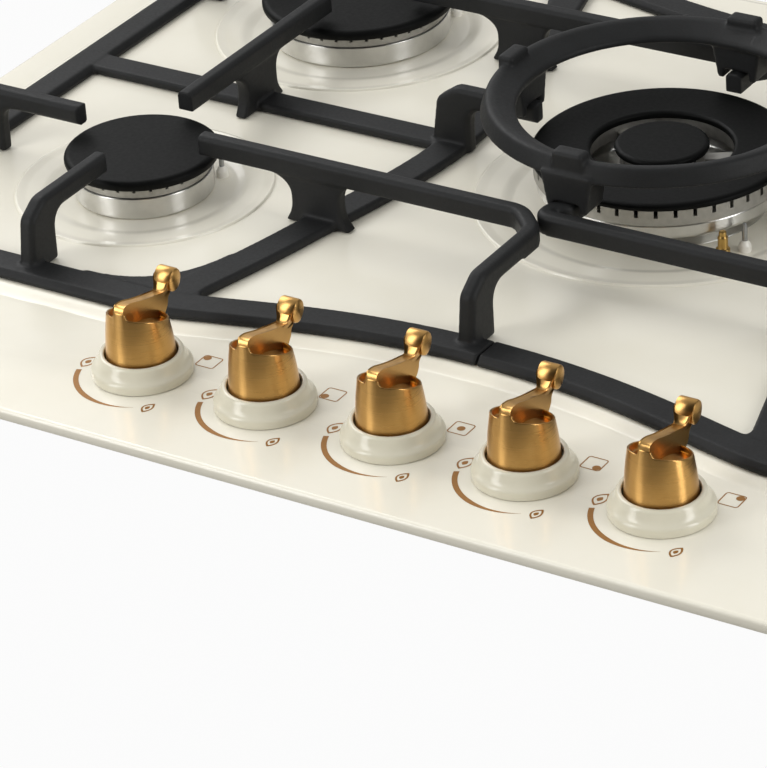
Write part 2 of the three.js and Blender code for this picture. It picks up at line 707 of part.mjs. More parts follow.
// At rest the gas is off: the inlet port faces left and the outlet port right.
function tapPlug() {
  const cone = revolve([
    [0, PLUG_BOTTOM], [PLUG_BOTTOM_R, PLUG_BOTTOM], [PLUG_TOP_R, PLUG_TOP], [0, PLUG_TOP],
  ], FACETS_PLUG);
  const socketFloor = SPINDLE_BOTTOM - PUSH_TRAVEL - SEAT_GAP;
  return cut(
    cone,
    slab(dSection(SEAT_GAP), socketFloor, PLUG_TOP + 1, 0, 3),
    disc(GAS_BORE_R, 0, PLUG_BORE_TOP, FACETS_PIPE),
    rod([0, 0, GAS_IN_Z], [-TAP_R, 0, GAS_IN_Z], GAS_BORE_R),
    rod([0, 0, TAP_OUTLET_Z], [TAP_R, 0, TAP_OUTLET_Z], GAS_BORE_R),
  );
}

// A barrel with a conical seat, a saddle clamped round the manifold and an outlet to the back.
function tapBody() {
  const barrel = disc(TAP_R, TRAY_SHEET + TAP_FOOT, TAP_TOP, FACETS_HIDDEN);
  const clampR = MANIFOLD_R + SEAT_GAP;
  const saddle = block(
    -SADDLE_WIDTH / 2, SADDLE_WIDTH / 2, -MANIFOLD_SETBACK - clampR - SADDLE_WALL, 0,
    MANIFOLD_Z - clampR - SADDLE_WALL, MANIFOLD_Z + clampR + SADDLE_WALL,
  );
  const spout = rod([0, 0, TAP_OUTLET_Z], [0, TAP_OUTLET_REACH, TAP_OUTLET_Z], TAP_OUTLET_R);
  const seat = revolve([
    [0, PLUG_BOTTOM - SEAT_GAP], [PLUG_BOTTOM_R + SEAT_GAP, PLUG_BOTTOM - SEAT_GAP],
    [PLUG_TOP_R + SEAT_GAP, PLUG_TOP + SEAT_GAP], [0, PLUG_TOP + SEAT_GAP],
  ], FACETS_PLUG);
  return cut(
    join(barrel, saddle, spout),
    seat,
    disc(SPINDLE_R + BONNET_GAP, PLUG_TOP, TAP_TOP + 1, FACETS_HIDDEN),
    rod(
      [-TAP_R, -MANIFOLD_SETBACK, MANIFOLD_Z], [TAP_R, -MANIFOLD_SETBACK, MANIFOLD_Z],
      clampR, FACETS_HIDDEN,
    ),
    rod([0, -MANIFOLD_SETBACK, GAS_IN_Z], [0, 0, GAS_IN_Z], GAS_BORE_R),
    rod([0, 0, TAP_OUTLET_Z], [0, TAP_OUTLET_REACH + 1, TAP_OUTLET_Z], GAS_BORE_R),
  );
}

// ---------------------------------------------------------------- gas supply

const INLET_Y = NOTCH_Y - TRAY_SHEET - SEAT_GAP - INLET_BODY / 2;

function gasManifold() {
  const y = KNOB_ROW_Y - MANIFOLD_SETBACK;
  const startX = knobX(0) - MANIFOLD_TAIL;
  const endX = INLET_X - INLET_BOSS_REACH - SEAT_GAP;
  const tubeFrom = (x, radius) => pipe(new PipeRoute([
    new THREE.Vector3(x, y, MANIFOLD_Z),
    new THREE.Vector3(MANIFOLD_RUN_X, y, MANIFOLD_Z),
    new THREE.Vector3(MANIFOLD_RUN_X, INLET_Y, MANIFOLD_Z),
    new THREE.Vector3(endX, INLET_Y, MANIFOLD_Z),
  ], MANIFOLD_BEND_R), radius, FACETS_HIDDEN);
  const drillings = Array.from({ length: KNOB_COUNT }, (_, i) => rod(
    [knobX(i), y, GAS_IN_Z], [knobX(i), y + MANIFOLD_R + 1, GAS_IN_Z], GAS_BORE_R,
  ));
  const bore = tubeFrom(startX + 2 * MANIFOLD_WALL, MANIFOLD_R - MANIFOLD_WALL);
  return cut(tubeFrom(startX, MANIFOLD_R), bore, ...drillings);
}

// The elbow fixed in the tray's notch wall, with its thread side to the back.
function gasInlet() {
  const innerFace = NOTCH_Y - TRAY_SHEET - SEAT_GAP;
  const mouth = NOTCH_Y + INLET_REACH;
  const along = (y0, y1, radius, facets) => rod(
    [INLET_X, y0, INLET_Z], [INLET_X, y1, INLET_Z], radius, facets,
  );
  const side = (radius, reach) => rod(
    [INLET_X - reach, INLET_Y, MANIFOLD_Z], [INLET_X, INLET_Y, MANIFOLD_Z], radius, FACETS_HIDDEN,
  );
  return cut(
    join(
      along(innerFace - INLET_BODY, mouth, INLET_R, FACETS_HIDDEN),
      along(innerFace - INLET_NUT, innerFace, INLET_NUT_R, 6),
      along(NOTCH_Y + SEAT_GAP, NOTCH_Y + INLET_NUT, INLET_NUT_R, 6),
      side(INLET_BOSS_R, INLET_BOSS_REACH),
    ),
    along(innerFace - INLET_BODY + 3, mouth + 1, INLET_BORE_R, FACETS_HIDDEN),
    side(MANIFOLD_R - MANIFOLD_WALL, INLET_BOSS_REACH + 1),
  );
}

// Which way an injector holder's inlet faces: the front for the wok burner, else the middle.
const inletTurn = (burner) => (isWok(burner) ? -90 : burner.x < 0 ? 0 : 180);

// Tap to injector: up from the spout, back, and across to the burner. The front pipes cross
// over the rear ones.
function gasPipe(burner, tapX) {
  const start = KNOB_ROW_Y + TAP_OUTLET_REACH + SEAT_GAP;
  const riseY = start + 3 * PIPE_BEND_R;
  const reach = HOLDER_INLET_REACH + SEAT_GAP;
  const point = (x, y, z) => new THREE.Vector3(x, y, z);
  const corners = [point(tapX, start, TAP_OUTLET_Z), point(tapX, start + PIPE_BEND_R, TAP_OUTLET_Z)];
  if (isWok(burner)) {
    corners.push(point(tapX, riseY, HOLDER_INLET_Z));
    corners.push(point(tapX, burner.y - reach, HOLDER_INLET_Z));
    return pipe(new PipeRoute(corners, PIPE_BEND_R, 1), PIPE_R);
  }
  const out = Math.sign(burner.x);
  const endX = burner.x - out * reach;
  const isFront = burner.y < WOK_Y;
  const level = isFront ? PIPE_HIGH_Z : PIPE_LOW_Z;
  corners.push(point(tapX, riseY, level), point(tapX, burner.y, level));
  if (isFront) {
    const crossed = knobX(out < 0 ? 0 : KNOB_COUNT - 1) + out * 2 * PIPE_BEND_R;
    corners.push(point(crossed, burner.y, level));
    corners.push(point(crossed + out * 2 * PIPE_BEND_R, burner.y, HOLDER_INLET_Z));
  } else {
    corners.push(point(endX - out * 2 * PIPE_BEND_R, burner.y, HOLDER_INLET_Z));
  }
  corners.push(point(endX, burner.y, HOLDER_INLET_Z));
  return pipe(new PipeRoute(corners, PIPE_BEND_R, 1), PIPE_R);
}

// ---------------------------------------------------------------- burners

// Burner pieces are drawn about their own axis, with heights above the panel.
function holderInlet(burner) {
  const z = HOLDER_INLET_Z - PANEL_TOP;
  const stub = rod([0, 0, z], [HOLDER_INLET_REACH, 0, z], HOLDER_INLET_R);
  return turn(stub, inletTurn(burner));
}

function burnerCup(burner) {
  const { r, bowl } = burner;
  const cupR = r + CUP_OVERHANG;
  const under = FLANGE_UNDER;
  const flangeTop = under + FLANGE_THICKNESS;
  const body = revolve([
    [0, HOLDER_BOTTOM], [HOLDER_R, HOLDER_BOTTOM], [HOLDER_R, HOLDER_TOP], [bowl, BOWL_FLOOR - 2],
    [bowl, under], [r - 2, under], [cupR, flangeTop], [cupR, CUP_TOP],
    [r - CROWN_WALL + 1, CUP_TOP], [bowl - BOWL_WALL, under], [bowl - BOWL_WALL, BOWL_FLOOR],
    [0, BOWL_FLOOR],
  ], FACETS_BURNER);
  return join(body, holderInlet(burner));
}

function burnerCrown(burner) {
  const { r } = burner;
  const bottom = CUP_TOP + SEAT_GAP;
  const top = bottom + CROWN_HEIGHT;
  const skirtR = r - CROWN_WALL - 3;
  const start = [skirtR - 2, bottom - CROWN_SKIRT];
  const body = revolve([
    start, [skirtR, bottom - CROWN_SKIRT], [skirtR, bottom], [r, bottom], [r, top],
    [r - CROWN_WALL, top], start,
  ], FACETS_BURNER);
  return cut(body, ports(r, CROWN_WALL, top));
}

function burnerCap(burner) {
  const capR = burner.r + CAP_OVERHANG;
  const under = CUP_TOP + CROWN_HEIGHT + 2 * SEAT_GAP;
  const top = under + CAP_HEIGHT;
  const spigotR = burner.r - CROWN_WALL - 2;
  return revolve([
    [0, under - CAP_SPIGOT], [spigotR, under - CAP_SPIGOT], [spigotR, under], [capR, under],
    [capR, top - CAP_BEVEL], [capR - CAP_BEVEL, top], [0, top],
  ], FACETS_BURNER);
}

function wokCup(burner) {
  const under = FLANGE_UNDER;
  const seatR = WOK_RING_R - WOK_CUP_WALL;
  const hollowR = WOK_BODY_R - BOWL_WALL;
  const body = revolve([
    [0, HOLDER_BOTTOM], [HOLDER_R, HOLDER_BOTTOM], [HOLDER_R, HOLDER_TOP],
    [WOK_BODY_R, BOWL_FLOOR - 2], [WOK_BODY_R, under], [WOK_FLANGE_R, under],
    [WOK_BODY_R + 1, under + 2 * FLANGE_THICKNESS], [WOK_BODY_R + 1, WOK_RING_UNDER], [WOK_RING_R, WOK_RING_UNDER], [WOK_RING_R, WOK_CUP_TOP],
    [seatR, WOK_CUP_TOP], [hollowR, WOK_RING_UNDER - 1], [hollowR, BOWL_FLOOR], [0, BOWL_FLOOR],
  ], FACETS_WOK);
  return join(body, holderInlet(burner));
}

// The outer trough and the small inner crown, cast in one with their bridges.
function wokSpreader() {
  const bottom = WOK_CUP_TOP + SEAT_GAP;
  const floor = bottom + WOK_TROUGH_FLOOR;
  const wall = WOK_TROUGH_WALL;
  const start = [WOK_CROWN_INNER_R, bottom];
  const trough = revolve([
    start, [WOK_CROWN_R, bottom], [WOK_CROWN_R, WOK_CROWN_TOP],
    [WOK_CROWN_R - wall, WOK_CROWN_TOP], [WOK_CROWN_R - wall, floor],
    [WOK_CROWN_INNER_R + wall, floor], [WOK_CROWN_INNER_R + wall, WOK_CROWN_TOP],
    [WOK_CROWN_INNER_R, WOK_CROWN_TOP], start,
  ], FACETS_WOK);
  const innerStart = [WOK_INNER_R - 2 * wall, bottom];
  const inner = revolve([
    innerStart, [WOK_INNER_R, bottom], [WOK_INNER_R, WOK_INNER_TOP],
    [WOK_INNER_R - wall, WOK_INNER_TOP], innerStart,
  ], FACETS_KNOB);
  const bridge = block(
    WOK_INNER_R - 2, WOK_CROWN_INNER_R + 2, -WOK_BRIDGE_WIDTH / 2, WOK_BRIDGE_WIDTH / 2,
    bottom, bottom + 2 * WOK_TROUGH_FLOOR,
  );
  return cut(
    join(trough, inner, turn(repeatRound(WOK_BRIDGES, bridge), -90)),
    ports(WOK_CROWN_R, wall, WOK_CROWN_TOP),
    ports(WOK_INNER_R, wall, WOK_INNER_TOP),
  );
}

function wokOuterCap() {
  const under = WOK_CROWN_TOP + SEAT_GAP;
  const top = under + WOK_CAP_HEIGHT;
  const start = [WOK_CAP_HOLE_R, under];
  return revolve([
    start, [WOK_CAP_R, under], [WOK_CAP_R, top - CAP_BEVEL], [WOK_CAP_R - CAP_BEVEL, top],
    [WOK_CAP_HOLE_R, top], start,
  ], FACETS_WOK);
}

function wokInnerCap() {
  const under = WOK_INNER_TOP + SEAT_GAP;
  const top = under + WOK_INNER_CAP_HEIGHT;
  return revolve([
    [0, under], [WOK_INNER_CAP_R, under], [WOK_INNER_CAP_R, top - CAP_BEVEL],
    [WOK_INNER_CAP_R - CAP_BEVEL, top], [0, top],
  ], FACETS_BURNER);
}

function electrode() {
  return revolve([
    [0, ELECTRODE_BOTTOM], [ELECTRODE_R, ELECTRODE_BOTTOM], [ELECTRODE_R, ELECTRODE_SHOULDER],
    [ELECTRODE_TIP_R, ELECTRODE_SHOULDER + 2], [ELECTRODE_TIP_R, ELECTRODE_TIP],
    [0, ELECTRODE_TIP],
  ], FACETS_PIPE);
}

function ignitionModule() {
  const [x, y] = [MODULE_LENGTH / 2, MODULE_WIDTH / 2];
  const box = slab(outline([[-x, -y], [x, -y], [x, y], [-x, y]]), 0, MODULE_HEIGHT);
  const pegs = BURNERS.map((_, i) => {
    const peg = disc(TERMINAL_R, MODULE_HEIGHT - 1, MODULE_HEIGHT + TERMINAL_HEIGHT, FACETS_PIPE);
    return move(peg, (i - (BURNERS.length - 1) / 2) * TERMINAL_PITCH, 0, 0);
  });
  return join(box, ...pegs);
}

// ---------------------------------------------------------------- pan supports

// Pan supports are drawn about the wok burner's axis, with heights above the panel.
function arc(cx, cy, from, to, steps) {
  const curve = new THREE.EllipseCurve(cx, cy, RAIL_CORNER_R, RAIL_CORNER_R, from, to, from > to);
  return curve.getPoints(steps);
}

function rail() {
  const [x, y] = [RAIL_SIDE - RAIL_CORNER_R, RAIL_FRONT - RAIL_CORNER_R];
  const past = 4 * SEAM_SHIFT;
  const centre = [
    new THREE.Vector2(past, -RAIL_MIDDLE),
    ...bowPoints(5).reverse(),
    ...arc(-x, -y, Math.PI * 1.5, Math.PI, 3),
    ...arc(-x, y, Math.PI, Math.PI / 2, 3),
    ...bowPoints(5).map((p) => new THREE.Vector2(p.x, -p.y)),
    new THREE.Vector2(past, RAIL_MIDDLE),
  ];
  const whole = slab(strip(centre, () => RAIL_WIDTH), RAIL_FOOT, RAIL_TOP, RAIL_BEVEL);
  const half = SEAM_GAP / 2;
  return cut(
    whole,
    block(SEAM_SHIFT - half, past + 1, -RAIL_FRONT, 0, 0, ARM_TOP),
    block(-SEAM_SHIFT - half, past + 1, 0, RAIL_FRONT, 0, ARM_TOP),
  );
}

// The low strap from the front rail to the back one, flared where it runs into them.
function strap() {
  const railEdge = RAIL_FRONT - RAIL_WIDTH / 2;
  const flareAt = (y) => {
    const inward = Math.min(Math.max(railEdge - Math.abs(y), 0), STRAP_FLARE_R);
    return STRAP_FLARE_R - Math.sqrt(STRAP_FLARE_R ** 2 - (STRAP_FLARE_R - inward) ** 2);
  };
  const halfLine = new THREE.CatmullRomCurve3([
    new THREE.Vector3(-STRAP_END_X, -RAIL_FRONT, 0),
    new THREE.Vector3(-STRAP_KNEE_X, -STRAP_KNEE_Y, 0),
    new THREE.Vector3(-STRAP_MID_X, 0, 0),
    new THREE.Vector3(-STRAP_KNEE_X, STRAP_KNEE_Y, 0),
    new THREE.Vector3(-STRAP_END_X, RAIL_FRONT, 0),
  ]);
  const shares = [0, 0.035, 0.05, 0.09, 0.25, 0.4, 0.5];
  const all = [...shares, ...shares.slice(0, -1).reverse().map((t) => 1 - t)];
  const centre = all.map((t) => halfLine.getPoint(t)).map((p) => new THREE.Vector2(p.x, p.y));
  const shape = strip(centre, (p) => STRAP_WIDTH + 2 * flareAt(p.y));
  return slab(shape, RAIL_FOOT, RAIL_TOP - SEAT_GAP);
}

// A leg that stands on a rail and turns into a level arm, from its outer face along X.
function finger(reach) {
  const shape = new THREE.Shape();
  shape.moveTo(0, RAIL_FOOT);
  shape.lineTo(LEG_DEPTH, RAIL_FOOT);
  shape.lineTo(LEG_DEPTH, ARM_UNDER - 8);
  shape.quadraticCurveTo(LEG_DEPTH + 1, ARM_UNDER - 1, LEG_DEPTH + 8, ARM_UNDER);
  shape.lineTo(reach, ARM_UNDER);
  shape.lineTo(reach, ARM_TOP);
  shape.lineTo(ARM_SHOULDER, ARM_TOP);
  shape.lineTo(ARM_SHOULDER_BACK, ARM_TOP - ARM_SHOULDER_DROP);
  return upright(shape, ARM_WIDTH, 0, 2);
}

// A post from a strap up to an arm that runs along X, with spread feet and shoulders.
function post() {
  const [w, f] = [POST_WIDTH / 2, POST_FLARE];
  const [low, high] = [RAIL_FOOT, ARM_UNDER + ARM_BEVEL];
  const shape = new THREE.Shape();
  shape.moveTo(-w - f / 2, low);
  shape.lineTo(w + f / 2, low);
  shape.quadraticCurveTo(w, low + f, w, (low + high) / 2);
  shape.quadraticCurveTo(w, high - 2, w + f, high);
  shape.lineTo(-w - 2 * f, high);
  shape.quadraticCurveTo(-w, high - 2, -w, (low + high) / 2);
  shape.quadraticCurveTo(-w, low + f, -w - f / 2, low);
  return upright(shape, ARM_WIDTH - ARM_BEVEL, 0, 2);
}

function armAlong(points) {
  const centre = points.map((p) => new THREE.Vector2(...p));
  return slab(strip(centre, () => ARM_WIDTH), ARM_UNDER, ARM_TOP);
}

function panSupport() {
  const y = BURNER_SPREAD_Y;
  const x = BURNER_SPREAD_X;
  const innerTip = x - FINGER_CIRCLE_R;
  const railReach = RAIL_FRONT + LEG_SETBACK - FINGER_TIP_Y;
  const sideReach = RAIL_SIDE + LEG_SETBACK - FINGER_TIP_X;
  const railOut = RAIL_FRONT + LEG_SETBACK;
  const elbowOut = RAIL_MIDDLE + LEG_SETBACK;
  const crossHalf = y - FINGER_CIRCLE_R;
  const strapOut = STRAP_MID_X + POST_WIDTH / 2;
  const low = BRIDGE_WIDTH / 2;
  return join(
    rail(),
    strap(),
    // fingers from the front and back rails and from the side rail
    move(turn(finger(railReach), 90), -x, -railOut, 0),
    move(turn(finger(railReach), -90), -x, railOut, 0),
    move(finger(sideReach), -RAIL_SIDE - LEG_SETBACK, -y, 0),
    move(finger(sideReach), -RAIL_SIDE - LEG_SETBACK, y, 0),
    // long front arm: over the strap, round the elbow and down to the rail beside the seam
    armAlong([
      [-innerTip, -y], [-ELBOW_X - ELBOW_CUT, -y],
      [-ELBOW_X, -y - ELBOW_CUT], [-ELBOW_X, -y - 2 * ELBOW_CUT],
    ]),
    move(turn(finger(elbowOut - y - 1.5 * ELBOW_CUT), 90), -ELBOW_X, -elbowOut, 0),
    move(post(), -STRAP_KNEE_X, -y, 0),
    // long back arm: over the strap and round to the wok ring's back lug
    armAlong([
      [-innerTip, y], [WOK_FINGER_SHIFT - WOK_ELBOW_CUT, y],
      [WOK_FINGER_SHIFT, y - WOK_ELBOW_CUT], [WOK_FINGER_SHIFT, WOK_FINGER_R],
    ]),
    move(post(), -STRAP_KNEE_X, y, 0),
    // middle: a low bridge from the side rail to the strap, with a cross bar on a post
    slab(outline([
      [-RAIL_SIDE, -low], [-STRAP_MID_X, -low], [-STRAP_MID_X, low], [-RAIL_SIDE, low],
    ]), RAIL_FOOT, RAIL_TOP - SEAT_GAP),
    armAlong([[-x, -crossHalf], [-x, crossHalf]]),
    move(turn(post(), 90), -x, 0, 0),
    // finger from the strap to the wok ring's left lug
    move(finger(strapOut - WOK_FINGER_R), -strapOut, 0, 0),
  );
}

// ---------------------------------------------------------------- wok ring

// A lug that sits astride a finger, drawn towards +X from the ring's axis.
function lug() {
  const inner = RING_TOP_R - LUG_DEPTH;
  const outer = RING_FOOT_R;
  const rim = block(inner + 1, RING_TOP_R + 1, -LUG_WIDTH / 2, LUG_WIDTH / 2, RING_BOTTOM, LUG_TOP);
  const foot = ARM_TOP - LUG_GRIP;
  const [narrow, wide] = [LUG_FOOT_WIDTH / 2, LUG_ROOT_WIDTH / 2];
  const leg = upright(outline([
    [-narrow, foot], [narrow, foot], [wide, RING_BOTTOM + 3], [-wide, RING_BOTTOM + 3],
  ]), outer - inner);
  const seat = block(
    inner - 1, outer + 1, -ARM_WIDTH / 2 - SEAT_GAP, ARM_WIDTH / 2 + SEAT_GAP,
    foot - 1, ARM_TOP + SEAT_GAP,
  );
  return cut(join(rim, move(turn(leg, 90), (inner + outer) / 2, 0, 0)), seat);
}

function wokRing() {
  const start = [RING_INNER_R, RING_BOTTOM];
  const hoop = revolve([
    start, [RING_FOOT_R, RING_BOTTOM], [RING_TOP_R, RING_TOP],
    [RING_TOP_R - RING_RIM_WIDTH, RING_TOP], [RING_INNER_R, RING_BOTTOM + 3], start,
  ], FACETS_WOK);
  const lugs = Array.from({ length: LUG_COUNT }, (_, i) => {
    const alongSeam = i % 2 === 1;
    return turn(move(lug(), 0, alongSeam ? -WOK_FINGER_SHIFT : 0, 0), (i / LUG_COUNT) * 360);
  });
  return join(hoop, ...lugs);
}

// ---------------------------------------------------------------- assembly

add('top_panel', topPanel(), 'enamel');
add('bottom_box', bottomBox(), 'zincSheet');
add('worktop_seal', worktopSeal(), 'foam');

for (const burner of BURNERS) {
  const { name, x, y } = burner;
  if (isWok(burner)) {
    add('wok_burner_cup', wokCup(burner), 'aluminium', x, y, PANEL_TOP);
    add('wok_flame_spreader', wokSpreader(), 'aluminium', x, y, PANEL_TOP);
    add('wok_outer_cap', wokOuterCap(), 'blackEnamel', x, y, PANEL_TOP);
    add('wok_inner_cap', wokInnerCap(), 'blackEnamel', x, y, PANEL_TOP);
  } else {
    add(`${name}_burner_cup`, burnerCup(burner), 'aluminium', x, y, PANEL_TOP);
    add(`${name}_burner_crown`, burnerCrown(burner), 'aluminium', x, y, PANEL_TOP);
    add(`${name}_burner_cap`, burnerCap(burner), 'blackEnamel', x, y, PANEL_TOP);
  }
  add(`${name}_electrode`, electrode(), 'ceramic', ...electrodeAt(burner), PANEL_TOP);
}

BURNERS.forEach((burner, i) => {
  const number = i + 1;
  add(`knob_${number}`, knob(), 'bronze', knobX(i), KNOB_ROW_Y, PANEL_TOP);
  add(`knob_collar_${number}`, knobCollar(), 'collarPlastic', knobX(i), KNOB_ROW_Y, PANEL_TOP);
  add(`spindle_${number}`, spindle(), 'steel', knobX(i), KNOB_ROW_Y);
  add(`tap_plug_${number}`, tapPlug(), 'brass', knobX(i), KNOB_ROW_Y);
  add(`tap_body_${number}`, tapBody(), 'brass', knobX(i), KNOB_ROW_Y);
  add(`gas_pipe_${number}`, gasPipe(burner, knobX(i)), 'aluminium');
});

add('gas_manifold', gasManifold(), 'aluminium');
add('gas_inlet', gasInlet(), 'brass');
add(
  'ignition_module', ignitionModule(), 'plastic',
  MODULE_X, TRAY_LENGTH / 2 - MODULE_FROM_BACK, TRAY_FLOOR,
);

add('left_pan_support', panSupport(), 'castIron', 0, WOK_Y, PANEL_TOP);
add('right_pan_support', panSupport(), 'castIron', 0, WOK_Y, PANEL_TOP).rotation.z = Math.PI;
add('wok_ring', wokRing(), 'castIron', 0, WOK_Y, PANEL_TOP);

export default cooktop;
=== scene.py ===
# A built-in gas hob with five burners, two cast-iron pan supports, a loose wok ring and five
# lever knobs. Sizes are in millimetres. Heights are above the flat front of the top panel, but
# for PANEL_TOP and WORKTOP_Z, which are above the underside of the tray. The castings are drawn
# about the wok burner's axis.

import math

import bmesh
import bpy
from mathutils import Matrix, Vector
from mathutils.geometry import tessellate_polygon


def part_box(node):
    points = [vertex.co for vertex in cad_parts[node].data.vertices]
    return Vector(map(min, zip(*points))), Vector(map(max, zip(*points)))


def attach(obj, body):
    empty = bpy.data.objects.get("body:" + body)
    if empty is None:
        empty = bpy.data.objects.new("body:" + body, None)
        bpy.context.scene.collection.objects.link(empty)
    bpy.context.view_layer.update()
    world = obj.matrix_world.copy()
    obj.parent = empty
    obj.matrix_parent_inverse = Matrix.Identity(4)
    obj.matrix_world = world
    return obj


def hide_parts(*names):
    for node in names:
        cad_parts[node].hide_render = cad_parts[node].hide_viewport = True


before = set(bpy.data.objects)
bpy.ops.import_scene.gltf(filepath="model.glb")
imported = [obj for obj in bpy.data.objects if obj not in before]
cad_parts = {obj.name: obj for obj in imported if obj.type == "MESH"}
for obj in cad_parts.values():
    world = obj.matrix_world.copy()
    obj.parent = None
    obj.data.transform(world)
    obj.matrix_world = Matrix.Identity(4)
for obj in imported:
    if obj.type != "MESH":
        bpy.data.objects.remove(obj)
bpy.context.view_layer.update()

# ---------------------------------------------------------------- camera
# A long lens from the front right, a little above the hob and leaning to one side. It looks
# at a point on the panel between the knobs and the front left burner.
MM = 0.001
CAMERA_AZIMUTH = math.radians(33.96)
CAMERA_ELEVATION = math.radians(30.01)
CAMERA_ROLL = math.radians(-4.0)
CAMERA_TARGET = Vector((-28.42, -166.19, 50.5)) * MM
CAMERA_DISTANCE = 1792.56 * MM
CAMERA_LENS = 190.1

away = Vector((
    math.sin(CAMERA_AZIMUTH) * math.cos(CAMERA_ELEVATION),
    -math.cos(CAMERA_AZIMUTH) * math.cos(CAMERA_ELEVATION),
    math.sin(CAMERA_ELEVATION),
))
level = Vector((math.cos(CAMERA_AZIMUTH), math.sin(CAMERA_AZIMUTH), 0))
upward = away.cross(level)
camera_x = math.cos(CAMERA_ROLL) * level + math.sin(CAMERA_ROLL) * upward
camera_y = math.cos(CAMERA_ROLL) * upward - math.sin(CAMERA_ROLL) * level
camera = bpy.data.objects.new("camera", bpy.data.cameras.new("camera"))
camera.data.lens = CAMERA_LENS
camera.matrix_world = Matrix([
    (camera_x[i], camera_y[i], away[i], CAMERA_TARGET[i] + away[i] * CAMERA_DISTANCE)
    for i in range(3)
] + [(0, 0, 0, 1)])
bpy.context.scene.collection.objects.link(camera)
bpy.context.scene.camera = camera


# ---------------------------------------------------------------- studio
# A white room with soft lamps, and a white worktop with the cut-out that the hob hangs in.
class Socket:
    """A shader value. Sums on it add the Math nodes that work them out."""

    def __init__(self, finish, socket):
        self.finish = finish
        self.socket = socket

    def sum(self, operation, *values):
        inputs = dict(enumerate(values))
        return self.finish.node("Math", {"operation": operation}, inputs)

    def __add__(self, other):
        return self.sum("ADD", self, other)

    def __radd__(self, other):
        return self.sum("ADD", other, self)

    def __sub__(self, other):
        return self.sum("SUBTRACT", self, other)

    def __rsub__(self, other):
        return self.sum("SUBTRACT", other, self)

    def __mul__(self, other):
        return self.sum("MULTIPLY", self, other)

    def __rmul__(self, other):
        return self.sum("MULTIPLY", other, self)


class Nodes:
    """The node tree of a material or of the world."""

    def __init__(self, owner):
        owner.use_nodes = True
        self.tree = owner.node_tree

    def node(self, kind, settings, inputs, output=0):
        made = self.tree.nodes.new("ShaderNode" + kind)
        for name, value in settings.items():
            setattr(made, name, value)
        for key, value in inputs.items():
            self.feed(made.inputs[key], value)
        return Socket(self, made.outputs[output])

    def feed(self, socket, value):
        if isinstance(value, Socket):
            self.tree.links.new(value.socket, socket)
        else:
            socket.default_value = value


class Finish(Nodes):
    """A material. Its constants are given by their names on the shader."""

    def __init__(self, name, **constants):
        self.material = bpy.data.materials.new(name)
        super().__init__(self.material)
        self.shader = self.tree.nodes["Principled BSDF"]
        for key, value in constants.items():
            self.set(key, value)

    def set(self, key, value):
        self.feed(self.shader.inputs[key.replace("_", " ").title().replace("Ior", "IOR")], value)

    def place(self):
        """Where a point lies on its own piece, in metres."""
        return self.node("TexCoord", {}, {}, "Object")

    def apart(self, vector, axis):
        return self.node("SeparateXYZ", {}, {0: vector}, axis)

    def noise(self, size, detail=3, roughness=0.5, stretch=(1, 1, 1)):
        """Soft grain of about the given size in millimetres, from 0 to 1."""
        scaled = self.node("VectorMath", {"operation": "MULTIPLY"}, {0: self.place(), 1: stretch})
        inputs = {"Vector": scaled, "Scale": 1 / (size * MM), "Detail": detail}
        return self.node("TexNoise", {}, {**inputs, "Roughness": roughness}, "Fac")

    def mix(self, factor, first, second):
        """One colour blending into another; index 0 is the factor, 6 and 7 are the colours."""
        colours = [(*c, 1) if isinstance(c, tuple) else c for c in (first, second)]
        settings = {"data_type": "RGBA", "clamp_factor": True}
        return self.node("Mix", settings, {0: factor, 6: colours[0], 7: colours[1]}, 2)

    def bump(self, height, depth, strength=1.0):
        """Relief of the given depth in millimetres."""
        inputs = {"Height": height, "Distance": depth * MM, "Strength": strength}
        self.set("Normal", self.node("Bump", {}, inputs, "Normal"))


def tone(red, green, blue):
    """A colour as it is seen on screen, from 0 to 255, in the shader's terms."""
    return tuple(((c / 255 + 0.055) / 1.055) ** 2.4 for c in (red, green, blue))


ROOM_GLOW = 0.62
FRONT_IN_METAL = 0.02
BACK_IN_METAL = 0.6
MIRROR_TURN = (0.1, 1.1)
room_world = bpy.data.worlds.new("white_room")
bpy.context.scene.world = room_world
room = Nodes(room_world)
path = {key: room.node("LightPath", {}, {}, f"Is {key} Ray") for key in ("Camera", "Glossy")}
towards = room.node("TexCoord", {}, {}, "Generated")
behind = room.node("VectorMath", {"operation": "DOT_PRODUCT"}, {0: towards, 1: -away}, "Value")
mirrored = room.node("MapRange", {"clamp": True, "interpolation_type": "SMOOTHSTEP"}, {
    "Value": behind + room.node("SeparateXYZ", {}, {0: towards}, 2),
    "From Min": MIRROR_TURN[0], "From Max": MIRROR_TURN[1],
    "To Min": FRONT_IN_METAL, "To Max": BACK_IN_METAL,
})
glow = ROOM_GLOW + path["Camera"] * (1 - ROOM_GLOW) + path["Glossy"] * (mirrored - ROOM_GLOW)
background = room.tree.nodes["Background"]
room.feed(background.inputs["Strength"], glow)
room.feed(background.inputs["Color"], (1, 1, 1, 1))

# name, place in metres, power in watts, width and height in metres
LAMPS = [
    ("key_lamp", (-1.9, 0.6, 1.7), 27, 1.8, 1.4),
    ("left_strip", (-1.0, -1.45, 0.8), 14, 0.6, 1.6),
    ("right_strip", (1.9, -0.05, 0.8), 16, 0.6, 1.6),
]
for name, place, power, width, height in LAMPS:
    lamp = bpy.data.lights.new(name, "AREA")
    lamp.shape = "RECTANGLE"
    lamp.size = width
    lamp.size_y = height
    lamp.energy = power
    holder = bpy.data.objects.new(name, lamp)
    holder.location = place
    holder.rotation_euler = (-Vector(place)).to_track_quat("-Z", "Y").to_euler()
    bpy.context.scene.collection.objects.link(holder)

WORKTOP_Z = 44.9
WORKTOP_SIZE = 4000
WORKTOP_SEEN = 0.96
CUT_OUT = (280, 240)
WELD = 0.002


